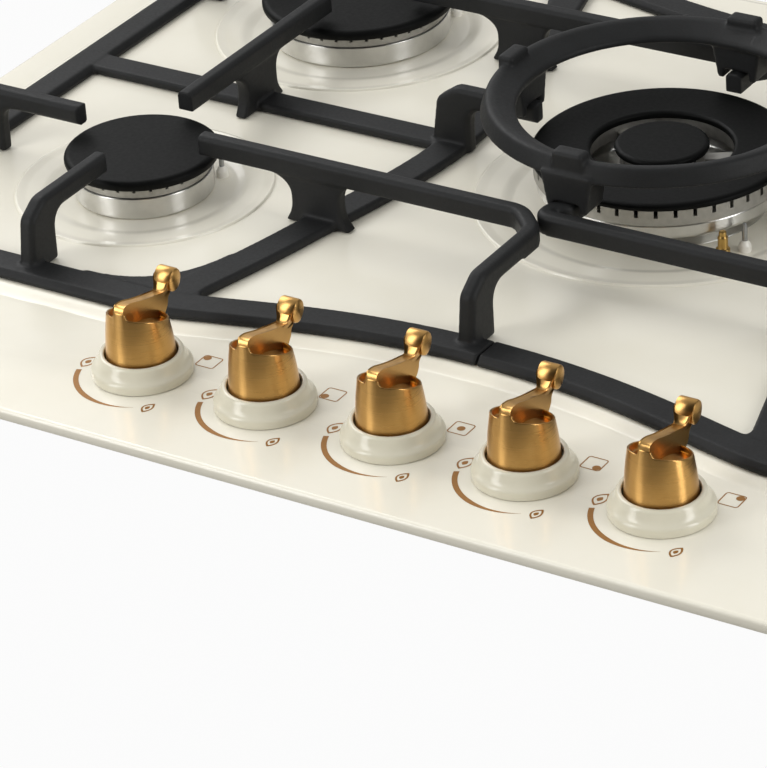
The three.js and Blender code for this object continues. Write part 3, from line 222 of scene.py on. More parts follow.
def shell(name, form, finish, at=(0, 0, 0), sharp=35, closed=True):
    """A piece from points in millimetres and faces, standing at a place in millimetres."""
    points, faces = form
    mesh = bpy.data.meshes.new(name)
    mesh.from_pydata([Vector(p) * MM for p in points], [], faces)
    work = bmesh.new()
    work.from_mesh(mesh)
    bmesh.ops.remove_doubles(work, verts=work.verts, dist=WELD * MM)
    if closed:
        bmesh.ops.recalc_face_normals(work, faces=work.faces)
    work.to_mesh(mesh)
    work.free()
    mesh.materials.append(finish.material)
    mesh.shade_smooth()
    mesh.set_sharp_from_angle(angle=math.radians(sharp))
    piece = bpy.data.objects.new(name, mesh)
    piece.location = Vector(at) * MM
    bpy.context.scene.collection.objects.link(piece)
    return piece


def framed(outer, inner, height):
    """A flat rectangular frame between two half sizes."""
    corners = [(-1, -1), (1, -1), (1, 1), (-1, 1)]
    points = [(x * w, y * d, height) for w, d in (outer, inner) for x, y in corners]
    return points, [(i, (i + 1) % 4, 4 + (i + 1) % 4, 4 + i) for i in range(4)]


worktop_white = Finish("worktop_white", Roughness=0.8)
seen = worktop_white.node("LightPath", {}, {}, "Is Camera Ray")
worktop_white.set("Base Color", worktop_white.mix(
    worktop_white.noise(60), tone(118, 116, 113), tone(126, 124, 121),
))
lit = worktop_white.node("Emission", {}, {"Color": (1, 1, 1, 1), "Strength": 1.0})
shaded = Socket(worktop_white, worktop_white.shader.outputs[0])
white = worktop_white.node("MixShader", {}, {0: seen * WORKTOP_SEEN, 1: shaded, 2: lit})
worktop_white.feed(worktop_white.tree.nodes["Material Output"].inputs["Surface"], white)
half = WORKTOP_SIZE / 2
worktop = shell(
    "worktop", framed((half, half), CUT_OUT, WORKTOP_Z), worktop_white, closed=False,
)

# ---------------------------------------------------------------- tray, seal and gas train
# The folded zinc-coated tray under the panel, with the foam strip that seals the panel to the
# worktop, and inside it the supply pipe, the brass taps, the pipes to the burners and the
# spark module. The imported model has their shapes.


def centre_of(node):
    """The middle of a node in plan and its lowest and highest level, in millimetres."""
    low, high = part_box(node)
    return (low[0] + high[0]) / 2 / MM, (low[1] + high[1]) / 2 / MM, low[2] / MM, high[2] / MM


def refinish(finish, *nodes):
    for node in nodes:
        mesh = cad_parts[node].data
        mesh.materials.clear()
        mesh.materials.append(finish.material)


SPANGLE_SCALE = 180

zinc_sheet = Finish("zinc_sheet", Metallic=1.0, Roughness=0.42)
spangle = zinc_sheet.node(
    "TexVoronoi", {"feature": "F1"}, {"Vector": zinc_sheet.place(), "Scale": SPANGLE_SCALE},
    "Color",
)
zinc_sheet.set("Base Color", zinc_sheet.mix(
    zinc_sheet.apart(spangle, 0), tone(176, 180, 184), tone(205, 208, 210),
))
zinc_sheet.set("Roughness", 0.34 + 0.16 * zinc_sheet.apart(spangle, 1))
refinish(zinc_sheet, "bottom_box")

seal_foam = Finish("seal_foam", Roughness=0.95)
seal_foam.set("Base Color", seal_foam.mix(seal_foam.noise(2), tone(38, 38, 38), tone(66, 66, 66)))
seal_foam.bump(seal_foam.noise(0.8, 4), 0.4)
refinish(seal_foam, "worktop_seal")

tap_brass = Finish("tap_brass", Metallic=1.0)
tap_brass.set("Base Color", tap_brass.mix(
    tap_brass.noise(6), tone(186, 148, 82), tone(214, 178, 108),
))
tap_brass.set("Roughness", 0.26 + 0.2 * tap_brass.noise(3))
tap_brass.bump(tap_brass.noise(0.5, 2), 0.02)

spindle_steel = Finish("spindle_steel", Metallic=1.0)
spindle_steel.set("Base Color", spindle_steel.mix(
    spindle_steel.noise(4), tone(150, 152, 154), tone(190, 192, 194),
))
spindle_steel.set("Roughness", 0.24 + 0.16 * spindle_steel.noise(2))

pipe_alloy = Finish("pipe_alloy", Metallic=1.0)
pipe_alloy.set("Base Color", pipe_alloy.mix(
    pipe_alloy.noise(12), tone(178, 180, 182), tone(214, 215, 216),
))
pipe_alloy.set("Roughness", 0.3 + 0.2 * pipe_alloy.noise(5))
pipe_alloy.bump(pipe_alloy.noise(0.6, 3), 0.03)

module_plastic = Finish("module_plastic", Roughness=0.5)
module_plastic.set("Base Color", module_plastic.mix(
    module_plastic.noise(8), tone(214, 210, 202), tone(228, 225, 218),
))
module_plastic.bump(module_plastic.noise(0.7, 4), 0.05)

KNOB_COUNT = 5
for i in range(1, KNOB_COUNT + 1):
    refinish(tap_brass, f"tap_body_{i}", f"tap_plug_{i}")
    refinish(spindle_steel, f"spindle_{i}")
    refinish(pipe_alloy, f"gas_pipe_{i}")
refinish(pipe_alloy, "gas_manifold")
refinish(tap_brass, "gas_inlet")
refinish(module_plastic, "ignition_module")

# ---------------------------------------------------------------- top panel
# One pressing of thin steel with cream vitreous enamel: a flat front strip for the knobs, a
# raised field for the burners whose front edge bows back round the knobs, a dished well with
# two soft steps round each burner, and a rounded edge turned down to the worktop.
PANEL = (750, 520)
PANEL_CORNER = 12
PANEL_TOP = 50.5
PANEL_SHEET = 1
PANEL_UNDERSIDE = 5.2
LIP_ROUND = 2
FIELD_RISE = 3
FIELD_SLOPE = 8
FIELD_CORNER = 34
FIELD_MARGIN = (27, 11)
RAIL_FRONT = 197.5
RAIL_WIDTH = 19
RAIL_BOW = 26.5
BOW = (165, 135, 85)
WELL_FLOOR = 0.5
WELL_LEDGE = 2
WELL_BEYOND = (10, 17, 31)
SPINDLE_HOLE = 6
HOLE_SIDES = 24
WELL_SIDES = 96
BOW_STEPS = 24
FIELD_CORNER_STEPS = 12
PANEL_CORNER_STEPS = 10
SLOPE_STEPS = 8
WELL_STEPS = 7
LIP_STEPS = 6

wok_x, wok_y, _, _ = centre_of("wok_inner_cap")
BURNERS = {
    "rear_left": (46, 37), "front_left": (33.3, 28), "front_right": (23, 18),
    "rear_right": (33.3, 28),
}
WOK_HOLE = 46
WOK_WELL = (71, 77, 92)


def arc(x, y, radius, start, stop, steps):
    """Points along a quarter or other part of a circle, with angles in degrees."""
    turns = [math.radians(start + (stop - start) * i / steps) for i in range(steps + 1)]
    return [Vector((x + radius * math.cos(a), y + radius * math.sin(a))) for a in turns]


def circle(x, y, radius, sides):
    return arc(x, y, radius, 0, 360 - 360 / sides, sides - 1)


def rounded_box(x, y, radius, steps):
    """A rectangle, anticlockwise, from the centre of its first corner's round."""
    return (
        arc(x, y, radius, 0, 90, steps) + arc(-x, y, radius, 90, 180, steps)
        + arc(-x, -y, radius, 180, 270, steps) + arc(x, -y, radius, 270, 360, steps)
    )


def bow(steps):
    """The left half of the front rail's middle line, from the straight to the centre."""
    start, lead_out, lead_in = (-x for x in BOW)
    front, middle = -RAIL_FRONT, RAIL_BOW - RAIL_FRONT
    ends = [
        Vector((start, front)), Vector((lead_out, front)),
        Vector((lead_in, middle)), Vector((0, middle)),
    ]
    line = []
    for i in range(steps + 1):
        t = i / steps
        weights = ((1 - t) ** 3, 3 * t * (1 - t) ** 2, 3 * t * t * (1 - t), t ** 3)
        line.append(sum((e * w for e, w in zip(ends, weights)), Vector((0, 0))))
    return line


def offset(outline, by):
    """A closed outline, drawn anticlockwise, moved outwards with mitred corners."""
    moved = []
    for i, here in enumerate(outline):
        before = (here - outline[i - 1]).normalized()
        after = (outline[(i + 1) % len(outline)] - here).normalized()
        out = Vector((before.y + after.y, -before.x - after.x)).normalized()
        moved.append(here + out * by / max(out.dot(Vector((before.y, -before.x))), 0.5))
    return moved


def soft_step(start, stop, steps):
    """(distance, height) pairs of an S-shaped slope between two points."""
    run = []
    for i in range(1, steps + 1):
        t = i / steps
        ease = t * t * (3 - 2 * t)
        run.append((start[0] + (stop[0] - start[0]) * t, start[1] + (stop[1] - start[1]) * ease))
    return run


def field_crest():
    """The top edge of the raised field, anticlockwise."""
    x = PANEL[0] / 2 - FIELD_MARGIN[0] - FIELD_CORNER
    back = PANEL[1] / 2 - FIELD_MARGIN[1] - FIELD_CORNER
    front = wok_y - RAIL_FRONT - RAIL_WIDTH / 2
    left = [Vector((p.x, wok_y + p.y - RAIL_WIDTH / 2)) for p in bow(BOW_STEPS)]
    right = [Vector((-p.x, p.y)) for p in left[-2::-1]]
    corner = front + FIELD_CORNER
    steps = FIELD_CORNER_STEPS
    return (
        arc(x, back, FIELD_CORNER, 0, 90, steps) + arc(-x, back, FIELD_CORNER, 90, 180, steps)
        + arc(-x, corner, FIELD_CORNER, 180, 270, steps) + left + right
        + arc(x, corner, FIELD_CORNER, 270, 360, steps)
    )


class Sheet:
    """Collects the rings and flats of the pressing."""

    def __init__(self):
        self.points = []
        self.faces = []

    def ring(self, outline, height):
        first = len(self.points)
        self.points += [(p.x, p.y, PANEL_TOP + height) for p in outline]
        return range(first, len(self.points))

    def slope(self, rings):
        for upper, lower in zip(rings, rings[1:]):
            n = len(upper)
            for i in range(n):
                j = (i + 1) % n
                self.faces.append((upper[i], lower[i], lower[j], upper[j]))

    def flat(self, rings):
        loops = [[Vector(self.points[i]) for i in ring] for ring in rings]
        index = [i for ring in rings for i in ring]
        for a, b, c in tessellate_polygon(loops):
            p, q, r = (Vector(self.points[index[k]]) for k in (a, b, c))
            corners = (a, b, c) if (q - p).cross(r - p).z > 0 else (a, c, b)
            self.faces.append(tuple(index[k] for k in corners))


def panel_outline(inset):
    x, y = PANEL[0] / 2 - PANEL_CORNER, PANEL[1] / 2 - PANEL_CORNER
    return rounded_box(x, y, PANEL_CORNER - inset, PANEL_CORNER_STEPS)


def top_panel_form():
    sheet = Sheet()
    edge = [
        (LIP_ROUND * (1 - math.sin(a)), LIP_ROUND * (math.cos(a) - 1))
        for a in (math.radians(90 / LIP_STEPS * i) for i in range(LIP_STEPS + 1))
    ]
    lip = [sheet.ring(panel_outline(inset), height) for inset, height in edge]
    lip.append(sheet.ring(panel_outline(0), -PANEL_UNDERSIDE))
    sheet.slope(lip)
    crest = field_crest()
    steps = [(0, FIELD_RISE)] + soft_step((0, FIELD_RISE), (FIELD_SLOPE, 0), SLOPE_STEPS)
    field = [sheet.ring(offset(crest, by), height) for by, height in steps]
    sheet.slope(field)
    holes = []
    for i in range(1, KNOB_COUNT + 1):
        x, y, _, _ = centre_of(f"knob_collar_{i}")
        holes.append(sheet.ring(circle(x, y, SPINDLE_HOLE, HOLE_SIDES), 0))
    sheet.flat([lip[0], field[-1], *holes])
    rims = []
    wells = [(wok_x, wok_y, *WOK_WELL, WOK_HOLE)]
    for name, (ring, bowl) in BURNERS.items():
        x, y, _, _ = centre_of(f"{name}_burner_cap")
        wells.append((x, y, *(ring + beyond for beyond in WELL_BEYOND), bowl + 1))
    for x, y, floor, ledge, rim, hole in wells:
        middle = (ledge + rim) / 2
        profile = [(rim, FIELD_RISE)]
        profile += soft_step(profile[-1], (middle, WELL_LEDGE), WELL_STEPS)
        profile += [(ledge + 1, WELL_LEDGE)]
        profile += soft_step(profile[-1], (floor, WELL_FLOOR), WELL_STEPS)
        profile += [(hole, WELL_FLOOR)]
        rings = [sheet.ring(circle(x, y, r, WELL_SIDES), height) for r, height in profile]
        sheet.slope([list(ring) for ring in rings])
        rims.append(rings[0])
    sheet.flat([field[0], *rims])
    return sheet.points, sheet.faces


enamel = Finish("cream_enamel", Coat_Weight=0.25, Coat_Roughness=0.05)
enamel.set("Base Color", enamel.mix(
    enamel.noise(35, 4), tone(232, 227, 210), tone(239, 235, 221),
))
enamel.set("Roughness", 0.19 + 0.1 * enamel.noise(9))
enamel.bump(enamel.noise(5, 2, 0.4), 0.03, 0.5)

top_panel = shell("enamelled_panel", top_panel_form(), enamel, sharp=50, closed=False)
gauge = top_panel.modifiers.new("gauge", "SOLIDIFY")
gauge.thickness = PANEL_SHEET * MM
gauge.offset = -1
flatten = top_panel.modifiers.new("flatten", "WEIGHTED_NORMAL")
flatten.mode = "FACE_AREA"
flatten.weight = 90
flatten.keep_sharp = True
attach(top_panel, "base")
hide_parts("top_panel")

# ---------------------------------------------------------------- printed marks
# Bronze-coloured prints fired on the enamel round each knob: a crescent that grows towards the
# large flame, a small flame, and a square whose dot tells which burner the knob serves.
PRINT_RISE = 0.06
CRESCENT_R = 32.2
CRESCENT_DRAWN_IN = 2.8
CRESCENT_WIDTH = 2.5
CRESCENT = (203, 252, 297)
CRESCENT_STEPS = 48
CRESCENT_POINT = 0.05
FLAME_AT = (-27.5, -4)
FLAME_SIZE = 10.8
SMALL_FLAME_AT = (20.4, -26.1)
SMALL_FLAME_SIZE = 8.6
FLAME_WIDTH = 0.6
FLAME_LINE = 0.75
FLAME_PINCH = 1.9
FLAME_TAIL = 0.14
FLAME_STEPS = 40
DROP = (0.34, 0.24)
SQUARE_AT = (22.4, 19.8)
SQUARE_SIZE = 10
SQUARE_LINE = 0.6
SQUARE_ROUNDS = (1.6, 0.9)
DOT_R = 1.9
DOT_REACH = 2.6
DOTS = [(-1, 1), (-1, -1), (0, 0), (1, -1), (1, 1)]


def flat_form(*loops):
    """One thin flat print from an outline and the outlines of its holes."""
    points = [(p.x, p.y, PRINT_RISE) for loop in loops for p in loop]
    solid_loops = [[Vector((p.x, p.y, 0)) for p in loop] for loop in loops]
    return points, [tuple(t) for t in tessellate_polygon(solid_loops)]


def merged(forms):
    points, faces = [], []
    for more_points, more_faces in forms:
        shift = len(points)
        points += [tuple(p) for p in more_points]
        faces += [tuple(i + shift for i in face) for face in more_faces]
    return points, faces


def moved(form, x=0, y=0, z=0, turn=0):
    """The form turned about its own upright axis by some degrees, then moved."""
    c, s = math.cos(math.radians(turn)), math.sin(math.radians(turn))
    return [(x + c * px - s * py, y + s * px + c * py, z + pz) for px, py, pz in form[0]], form[1]


def crescent():
    start, full, stop = CRESCENT
    outer, inner = [], []
    for i in range(CRESCENT_STEPS + 1):
        turn = start + (stop - start) * i / CRESCENT_STEPS
        share = 1 if turn < full else (stop - turn) / (stop - full)
        half_width = CRESCENT_WIDTH * max(share, CRESCENT_POINT) / 2
        direction = Vector((math.cos(math.radians(turn)), math.sin(math.radians(turn))))
        radius = CRESCENT_R - CRESCENT_DRAWN_IN * (1 - i / CRESCENT_STEPS) ** 2
        outer.append(direction * (radius + half_width))
        inner.append(direction * (radius - half_width))
    return flat_form(outer + inner[::-1])


def flame(height):
    """An upright flame mark: a leaf-shaped line round a small filled drop."""
    def leaf(size, width):
        loop = []
        for i in range(FLAME_STEPS):
            a = 2 * math.pi * i / FLAME_STEPS
            y = -math.cos(a) * size / 2
            bulge = math.copysign(abs(math.sin(a)) ** FLAME_PINCH, math.sin(a))
            half_width = bulge * width / 2
            tail = FLAME_TAIL * size * max(0.5 + y / size, 0) ** 4
            loop.append(Vector((half_width + tail, y)))
        return loop
    inner = leaf(height - 2 * FLAME_LINE - 1, height * FLAME_WIDTH - 2 * FLAME_LINE)
    drop = leaf(height * DROP[0], height * DROP[1])
    return merged([flat_form(leaf(height, height * FLAME_WIDTH), inner[::-1]), flat_form(drop)])


def square_ring():
    """The outline square with rounded corners."""
    def rim(half_size, radius):
        return rounded_box(half_size - radius, half_size - radius, radius, 6)
    outer = SQUARE_SIZE / 2
    inner = rim(outer - SQUARE_LINE, SQUARE_ROUNDS[1])
    return flat_form(rim(outer, SQUARE_ROUNDS[0]), inner[::-1])


print_bronze = Finish("print_bronze", Roughness=0.35, Metallic=0.25)
print_bronze.set("Base Color", print_bronze.mix(
    print_bronze.noise(1.5), tone(146, 98, 36), tone(164, 114, 50),
))
for i, (dot_x, dot_y) in enumerate(DOTS, 1):
    knob_x, knob_y, _, _ = centre_of(f"knob_collar_{i}")
    dot = flat_form(circle(dot_x * DOT_REACH, dot_y * DOT_REACH, DOT_R, HOLE_SIDES))
    marks = shell(f"printed_marks_{i}", merged([
        crescent(),
        moved(flame(FLAME_SIZE), *FLAME_AT),
        moved(flame(SMALL_FLAME_SIZE), *SMALL_FLAME_AT),
        moved(merged([square_ring(), dot]), *SQUARE_AT),
    ]), print_bronze, (knob_x, knob_y, PANEL_TOP), closed=False)
    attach(marks, "base")

# ---------------------------------------------------------------- knob collars
# Moulded cream collars clipped round the knobs' openings, each with a short upright foot and
# a slope that rolls over at the rim, a little clear of the knob.


def rounded(corners, steps=5):
    """A closed outline through corners (x, y, round), each cut back by its round."""
    line = []
    for i, (x, y, cut) in enumerate(corners):
        here = Vector((x, y))
        before = Vector(corners[i - 1][:2]) - here
        after = Vector(corners[(i + 1) % len(corners)][:2]) - here
        if not cut:
            line.append(here)
            continue
        start = here + before.normalized() * min(cut, before.length * 0.49)
        stop = here + after.normalized() * min(cut, after.length * 0.49)
        for k in range(steps + 1):
            t = k / steps
            line.append(start * (1 - t) ** 2 + here * (2 * t * (1 - t)) + stop * t * t)
    return line


def lathe(profile, segments):
    """A turned form about the upright axis from a closed line of (radius, height)."""
    n = len(profile)
    points = []
    for i in range(segments):
        a = 2 * math.pi * i / segments
        points += [(p[0] * math.cos(a), p[0] * math.sin(a), p[1]) for p in profile]
    faces = []
    for i in range(segments):
        j = (i + 1) % segments
        for k in range(n):
            m = (k + 1) % n
            if profile[k][0] > 0 or profile[m][0] > 0:
                faces.append((i * n + k, j * n + k, j * n + m, i * n + m))
    return points, faces


COLLAR = [
    (18.3, 0.3, 0), (23.05, 0.3, 0.2), (23.05, 4.2, 1.0), (20.6, 6.0, 2.2), (18.9, 11, 1.6),
    (16.7, 11, 0.8), (16.7, 8.5, 0.5), (18.3, 5, 0.5),
]
TURNED_SIDES = 96

collar_enamel = Finish("collar_cream", Roughness=0.22, Coat_Weight=0.3, Coat_Roughness=0.1)
collar_enamel.set("Base Color", collar_enamel.mix(
    collar_enamel.noise(10), tone(208, 203, 182), tone(218, 213, 194),
))
collar_enamel.set("Roughness", 0.18 + 0.1 * collar_enamel.noise(4))
collar_enamel.bump(collar_enamel.noise(1.2, 3), 0.01)
for i in range(1, KNOB_COUNT + 1):
    knob_x, knob_y, _, _ = centre_of(f"knob_collar_{i}")
    collar = shell(f"cream_collar_{i}", lathe(rounded(COLLAR), TURNED_SIDES), collar_enamel,
                   (knob_x, knob_y, PANEL_TOP))
    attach(collar, "base")
    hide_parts(f"knob_collar_{i}")

# ---------------------------------------------------------------- lever knobs
# Bells turned from bronze-coloured metal with a scooped top. A fin stands across the scoop,
# flush with the bell at the front, and runs out over the back rim to a short drum to grip.
KNOB_FOOT = 5
BELL_SKEW_FROM = 8
BELL_RIM = (13.8, 29.1)
BELL_TILT = 0.3
BELL = [
    (0, KNOB_FOOT, 0), (16, KNOB_FOOT, 0.5), (15.7, 12, 1), (15.1, 20, 4), (*BELL_RIM, 0.45),
    (12.9, 29.1, 0.4), (12.2, 25.4, 1.8), (8, 26.4, 3), (0, 27.4, 0),
]
BELL_SIDES = 180
FIN_WIDTH = 5.6
FIN_EDGE = 0.6
FIN_NOSE = 13.5
FIN = [
    (-12.6, 25, 0), (-FIN_NOSE, 31, 2), (-FIN_NOSE, 39, 3), (-8.3, 38.8, 2.5), (2, 35.3, 6),
    (18, 31.7, 2), (22, 33, 1), (22, 30.8, 1), (19.2, 28.8, 2), (19, 25.4, 3),
    (14.3, 20.4, 0.5), (0, 20, 0),
]
CURL = [
    (14, 32.3, 0), (18.1, 31.5, 4), (20.9, 38.4, 1.5), (23, 38.4, 0.6), (23, 31, 1), (18, 30.4, 1),
]
CURL_FLARE = 0.62
CURL_BOTTOM = 32
CURL_RISE = 5.5
FRONT_SKIN = (36.2, 2.7, 5)
FRONT_FROM = -10
RIM_BAND = 0.6
STRIP_LAYERS = ((-1, 1), (-0.86, 0.25), (-0.5, 0), (0, 0), (0.5, 0), (0.86, 0.25), (1, 1))
DRUM_AT = (24.2, 35.6)
DRUM_R = (5.5, 4.5)
DRUM_TILT = 15
DRUM_WIDTH = 9.4
DRUM_EDGE = 0.9
DRUM_SIDES = 48
DRUM_LAYERS = ((-1, 1), (-0.93, 0.3), (-0.8, 0), (0.8, 0), (0.93, 0.3), (1, 1))


def layered(outlines, levels, place):
    """A closed form through outlines with equally many points, one at each level."""
    n = len(outlines[0])
    points = [place(p, level) for outline, level in zip(outlines, levels) for p in outline]
    faces = []
    for k in range(len(outlines) - 1):
        for i in range(n):
            j = (i + 1) % n
            faces.append((k * n + i, k * n + j, (k + 1) * n + j, (k + 1) * n + i))
    last = (len(outlines) - 1) * n
    for base, outline in ((0, outlines[0]), (last, outlines[-1])):
        loop = [Vector((p[0], p[1], 0)) for p in outline]
        faces += [tuple(base + i for i in t) for t in tessellate_polygon([loop])]
    return points, faces


def across(point, level):
    """Stands an outline of (backwards, up) upright, with the levels from left to right."""
    return level, point[0], point[1]


def flared(point, level):
    """The same, spread as the strip rises."""
    share = min(max((point[1] - CURL_BOTTOM) / CURL_RISE, 0), 1)
    return level * (1 + CURL_FLARE * share), point[0], point[1]


def bell():
    """The turned bell. Its rim falls towards the back and sweeps up the front of the fin."""
    points, faces = lathe(rounded(BELL), BELL_SIDES)
    rise = BELL_RIM[1] - BELL_SKEW_FROM
    top, flat, sweep_end = FRONT_SKIN
    placed = []
    for x, y, z in points:
        share = min(max((z - BELL_SKEW_FROM) / rise, 0), 1)
        lean = z - y * BELL_TILT * share
        near = min(max((sweep_end - abs(x)) / (sweep_end - flat), 0), 1)
        if y < FRONT_FROM and z > BELL_RIM[1] - RIM_BAND:
            lean += (top - BELL_RIM[1] + y * BELL_TILT) * near ** 3
        placed.append((x, y, lean))
    return placed, faces


def strip(outline, place):
    """A strip as wide as the fin from its side view, with softened edges."""
    side = rounded(outline)
    outlines, levels = [], []
    for level, inset in STRIP_LAYERS:
        x = level * FIN_WIDTH / 2
        back = FIN_NOSE - math.sqrt(FIN_NOSE ** 2 - x * x)
        outlines.append([
            p + Vector((back * (max(-p.x, 0) / FIN_NOSE) ** 2, 0))
            for p in offset(side, -inset * FIN_EDGE)
        ])
        levels.append(x)
    return layered(outlines, levels, place)


def drum():
    tilt = math.radians(DRUM_TILT)
    long_way = Vector((math.sin(tilt), math.cos(tilt)))
    short_way = Vector((math.cos(tilt), -math.sin(tilt)))
    outlines, levels = [], []
    for level, inset in DRUM_LAYERS:
        shrink = inset * DRUM_EDGE
        outlines.append([
            Vector(DRUM_AT) + long_way * ((DRUM_R[0] - shrink) * math.sin(a))
            + short_way * ((DRUM_R[1] - shrink) * math.cos(a))
            for a in (2 * math.pi * i / DRUM_SIDES for i in range(DRUM_SIDES))
        ])
        levels.append(level * DRUM_WIDTH / 2)
    return layered(outlines, levels, across)


bronze = Finish("turned_bronze", Metallic=1.0, Anisotropic=0.8, Anisotropic_Rotation=0.25)
turning = bronze.noise(0.35, 2, 0.6, (0.004, 0.004, 1))
bronze.set("Base Color", bronze.mix(
    turning * 0.5 + bronze.noise(9) * 0.5, tone(194, 146, 80), tone(228, 184, 116),
))
bronze.set("Roughness", 0.24 + 0.1 * turning)
bronze.bump(turning, 0.01, 0.25)
knob_form = merged([bell(), strip(FIN, across), strip(CURL, flared), drum()])
for i in range(1, KNOB_COUNT + 1):
    knob_x, knob_y, _, _ = centre_of(f"knob_collar_{i}")
    knob = shell(f"lever_knob_{i}", knob_form, bronze, (knob_x, knob_y, PANEL_TOP))
    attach(knob, f"dial_{i}")
    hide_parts(f"knob_{i}")

# ---------------------------------------------------------------- round burners
# Each burner is a cast-alloy cup whose rim stands polished above the well, a crown of cast
# alloy with gas slots cut in its top, and a loose cap of black enamelled steel on the crown.
HOLDER_R = 9
HOLDER = (-32, -18)
CUP_OVERHANG = 0.8
CUP_TOP = 13
CROWN = (13.3, 18.4)
CROWN_WALL = 5
CAP = (18.7, 23.7)
CAP_BEYOND = 4.5
SLOT_PITCH = 7.9
SLOT_WIDTH = 1.5
SLOT_DEPTH = 2.4
TOOTH_ROOT = 0.1


def toothed(outer, inner, bottom, top, count, gap, depth):
    """A turned wall whose top is cut into teeth by radial slots."""
    foot = top - depth
    forms = [lathe([(inner, bottom), (outer, bottom), (outer, foot), (inner, foot)], count * 4)]
    share = 1 - gap / (2 * math.pi * outer / count)
    for i in range(count):
        middle = 2 * math.pi * i / count
        half_turn = math.pi / count * share
        turns = [middle + half_turn * k / 2 for k in (-2, -1, 0, 1, 2)]
        ring = [Vector((outer * math.cos(a), outer * math.sin(a))) for a in turns]
        ring += [Vector((inner * math.cos(a), inner * math.sin(a))) for a in turns[::-1]]
        forms.append(layered([ring, ring], [foot - TOOTH_ROOT, top], lambda p, z: (p.x, p.y, z)))
    return merged(forms)


polished_alloy = Finish(
    "polished_alloy", Metallic=1.0, Anisotropic=0.7, Anisotropic_Rotation=0.25,
)
swirl = polished_alloy.noise(0.4, 2, 0.6, (0.03, 0.03, 1))
polished_alloy.set("Base Color", polished_alloy.mix(
    polished_alloy.noise(7), tone(205, 204, 200), tone(232, 231, 227),
))
polished_alloy.set("Roughness", 0.24 + 0.14 * swirl)
polished_alloy.bump(swirl, 0.01, 0.4)

cast_alloy = Finish("cast_alloy", Metallic=0.9)
cast_alloy.set("Base Color", cast_alloy.mix(
    cast_alloy.noise(3, 4), tone(158, 156, 150), tone(196, 194, 188),
))
cast_alloy.set("Roughness", 0.42 + 0.2 * cast_alloy.noise(1.5, 4))
cast_alloy.bump(cast_alloy.noise(0.6, 4), 0.08, 0.6)

cap_enamel = Finish("cap_enamel", Specular_IOR_Level=0.12)
cap_enamel.set("Base Color", cap_enamel.mix(
    cap_enamel.noise(12, 4), tone(5, 6, 5), tone(11, 12, 11),
))
cap_enamel.set("Roughness", 0.42 + 0.18 * cap_enamel.noise(2, 4))
cap_enamel.bump(cap_enamel.noise(0.5, 3), 0.03, 0.5)

for name, (ring, bowl) in BURNERS.items():
    x, y, _, _ = centre_of(f"{name}_burner_cap")
    at = (x, y, PANEL_TOP)
    rim = ring + CUP_OVERHANG
    cup = shell(f"{name}_cup", lathe(rounded([
        (0, HOLDER[0], 0), (HOLDER_R, HOLDER[0], 0.5), (HOLDER_R, HOLDER[1], 1), (bowl, -14, 2),
        (bowl, 0.8, 0), (ring - 2, 0.8, 0.3), (rim, 2.6, 0.6), (rim, CUP_TOP, 0.5),
        (ring - 4, CUP_TOP, 0.3), (bowl - 2.5, 0.8, 1), (bowl - 2.5, -12, 1), (0, -12, 0),
    ]), TURNED_SIDES), polished_alloy, at)
    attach(cup, "base")
    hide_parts(f"{name}_burner_cup")
    slots = round(2 * math.pi * ring / SLOT_PITCH)
    crown = shell(f"{name}_crown", merged([
        toothed(ring, ring - CROWN_WALL, CROWN[0], CROWN[1], slots, SLOT_WIDTH, SLOT_DEPTH),
        lathe([
            (ring - 10, CROWN[0] - 5), (ring - 8, CROWN[0] - 5), (ring - 8, CROWN[0]),
            (ring - 4.8, CROWN[0] + 0.1), (ring - 4.8, CROWN[0] + 1.5), (ring - 9, CROWN[0] + 1),
        ], TURNED_SIDES),
    ]), cast_alloy, at)
    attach(crown, "base")
    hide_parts(f"{name}_burner_crown")
    cap_r = ring + CAP_BEYOND
    cap = shell(f"{name}_cap", lathe(rounded([
        (0, CAP[0] - 2, 0), (ring - 7, CAP[0] - 2, 0.4), (ring - 7, CAP[0], 0.3),
        (cap_r - 0.6, CAP[0], 0.5), (cap_r, CAP[0] + 1, 0.8), (cap_r, CAP[1] - 1.6, 1),
        (cap_r - 1.8, CAP[1], 1.6), (0, CAP[1], 0),
    ]), TURNED_SIDES), cap_enamel, at)
    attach(cap, "base")
    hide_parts(f"{name}_burner_cap")

# ---------------------------------------------------------------- wok burner
# The large burner: a cast cup with a polished band, a slotted outer trough and a small inner
# crown joined by three bridges, a ring-shaped outer cap and a round inner cap.
WOK_SIDES = 144
WOK_CROWN = (61.3, 57.3, 18.7, 26.3)
WOK_SLOTS = (42, 1.9, 3.6)
INNER_CROWN = (20, 16, 18.7, 28)
INNER_SLOTS = (16, 1.8, 2.6)
BRIDGE_TURNS = (-90, 30, 150)
WOK_CAP_R = 62.3
wok_at = (wok_x, wok_y, PANEL_TOP)
wok_cup = shell("wok_cup", lathe(rounded([
    (0, HOLDER[0], 0), (HOLDER_R, HOLDER[0], 0.5), (HOLDER_R, HOLDER[1], 1), (45, -14, 3),
    (45, 0.8, 0), (51, 0.8, 0.4),
    (51, 2, 0.4), (46, 3.8, 0.6), (46, 10.9, 1), (58.8, 10.9, 0.6), (60, 12.4, 0.8),
    (60, 17.6, 0.6), (59, 18.4, 0.4), (56, 18.4, 0.3), (42.5, 9.9, 1), (42.5, -12, 1), (0, -12, 0),
]), WOK_SIDES), polished_alloy, wok_at)
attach(wok_cup, "base")
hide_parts("wok_burner_cup")

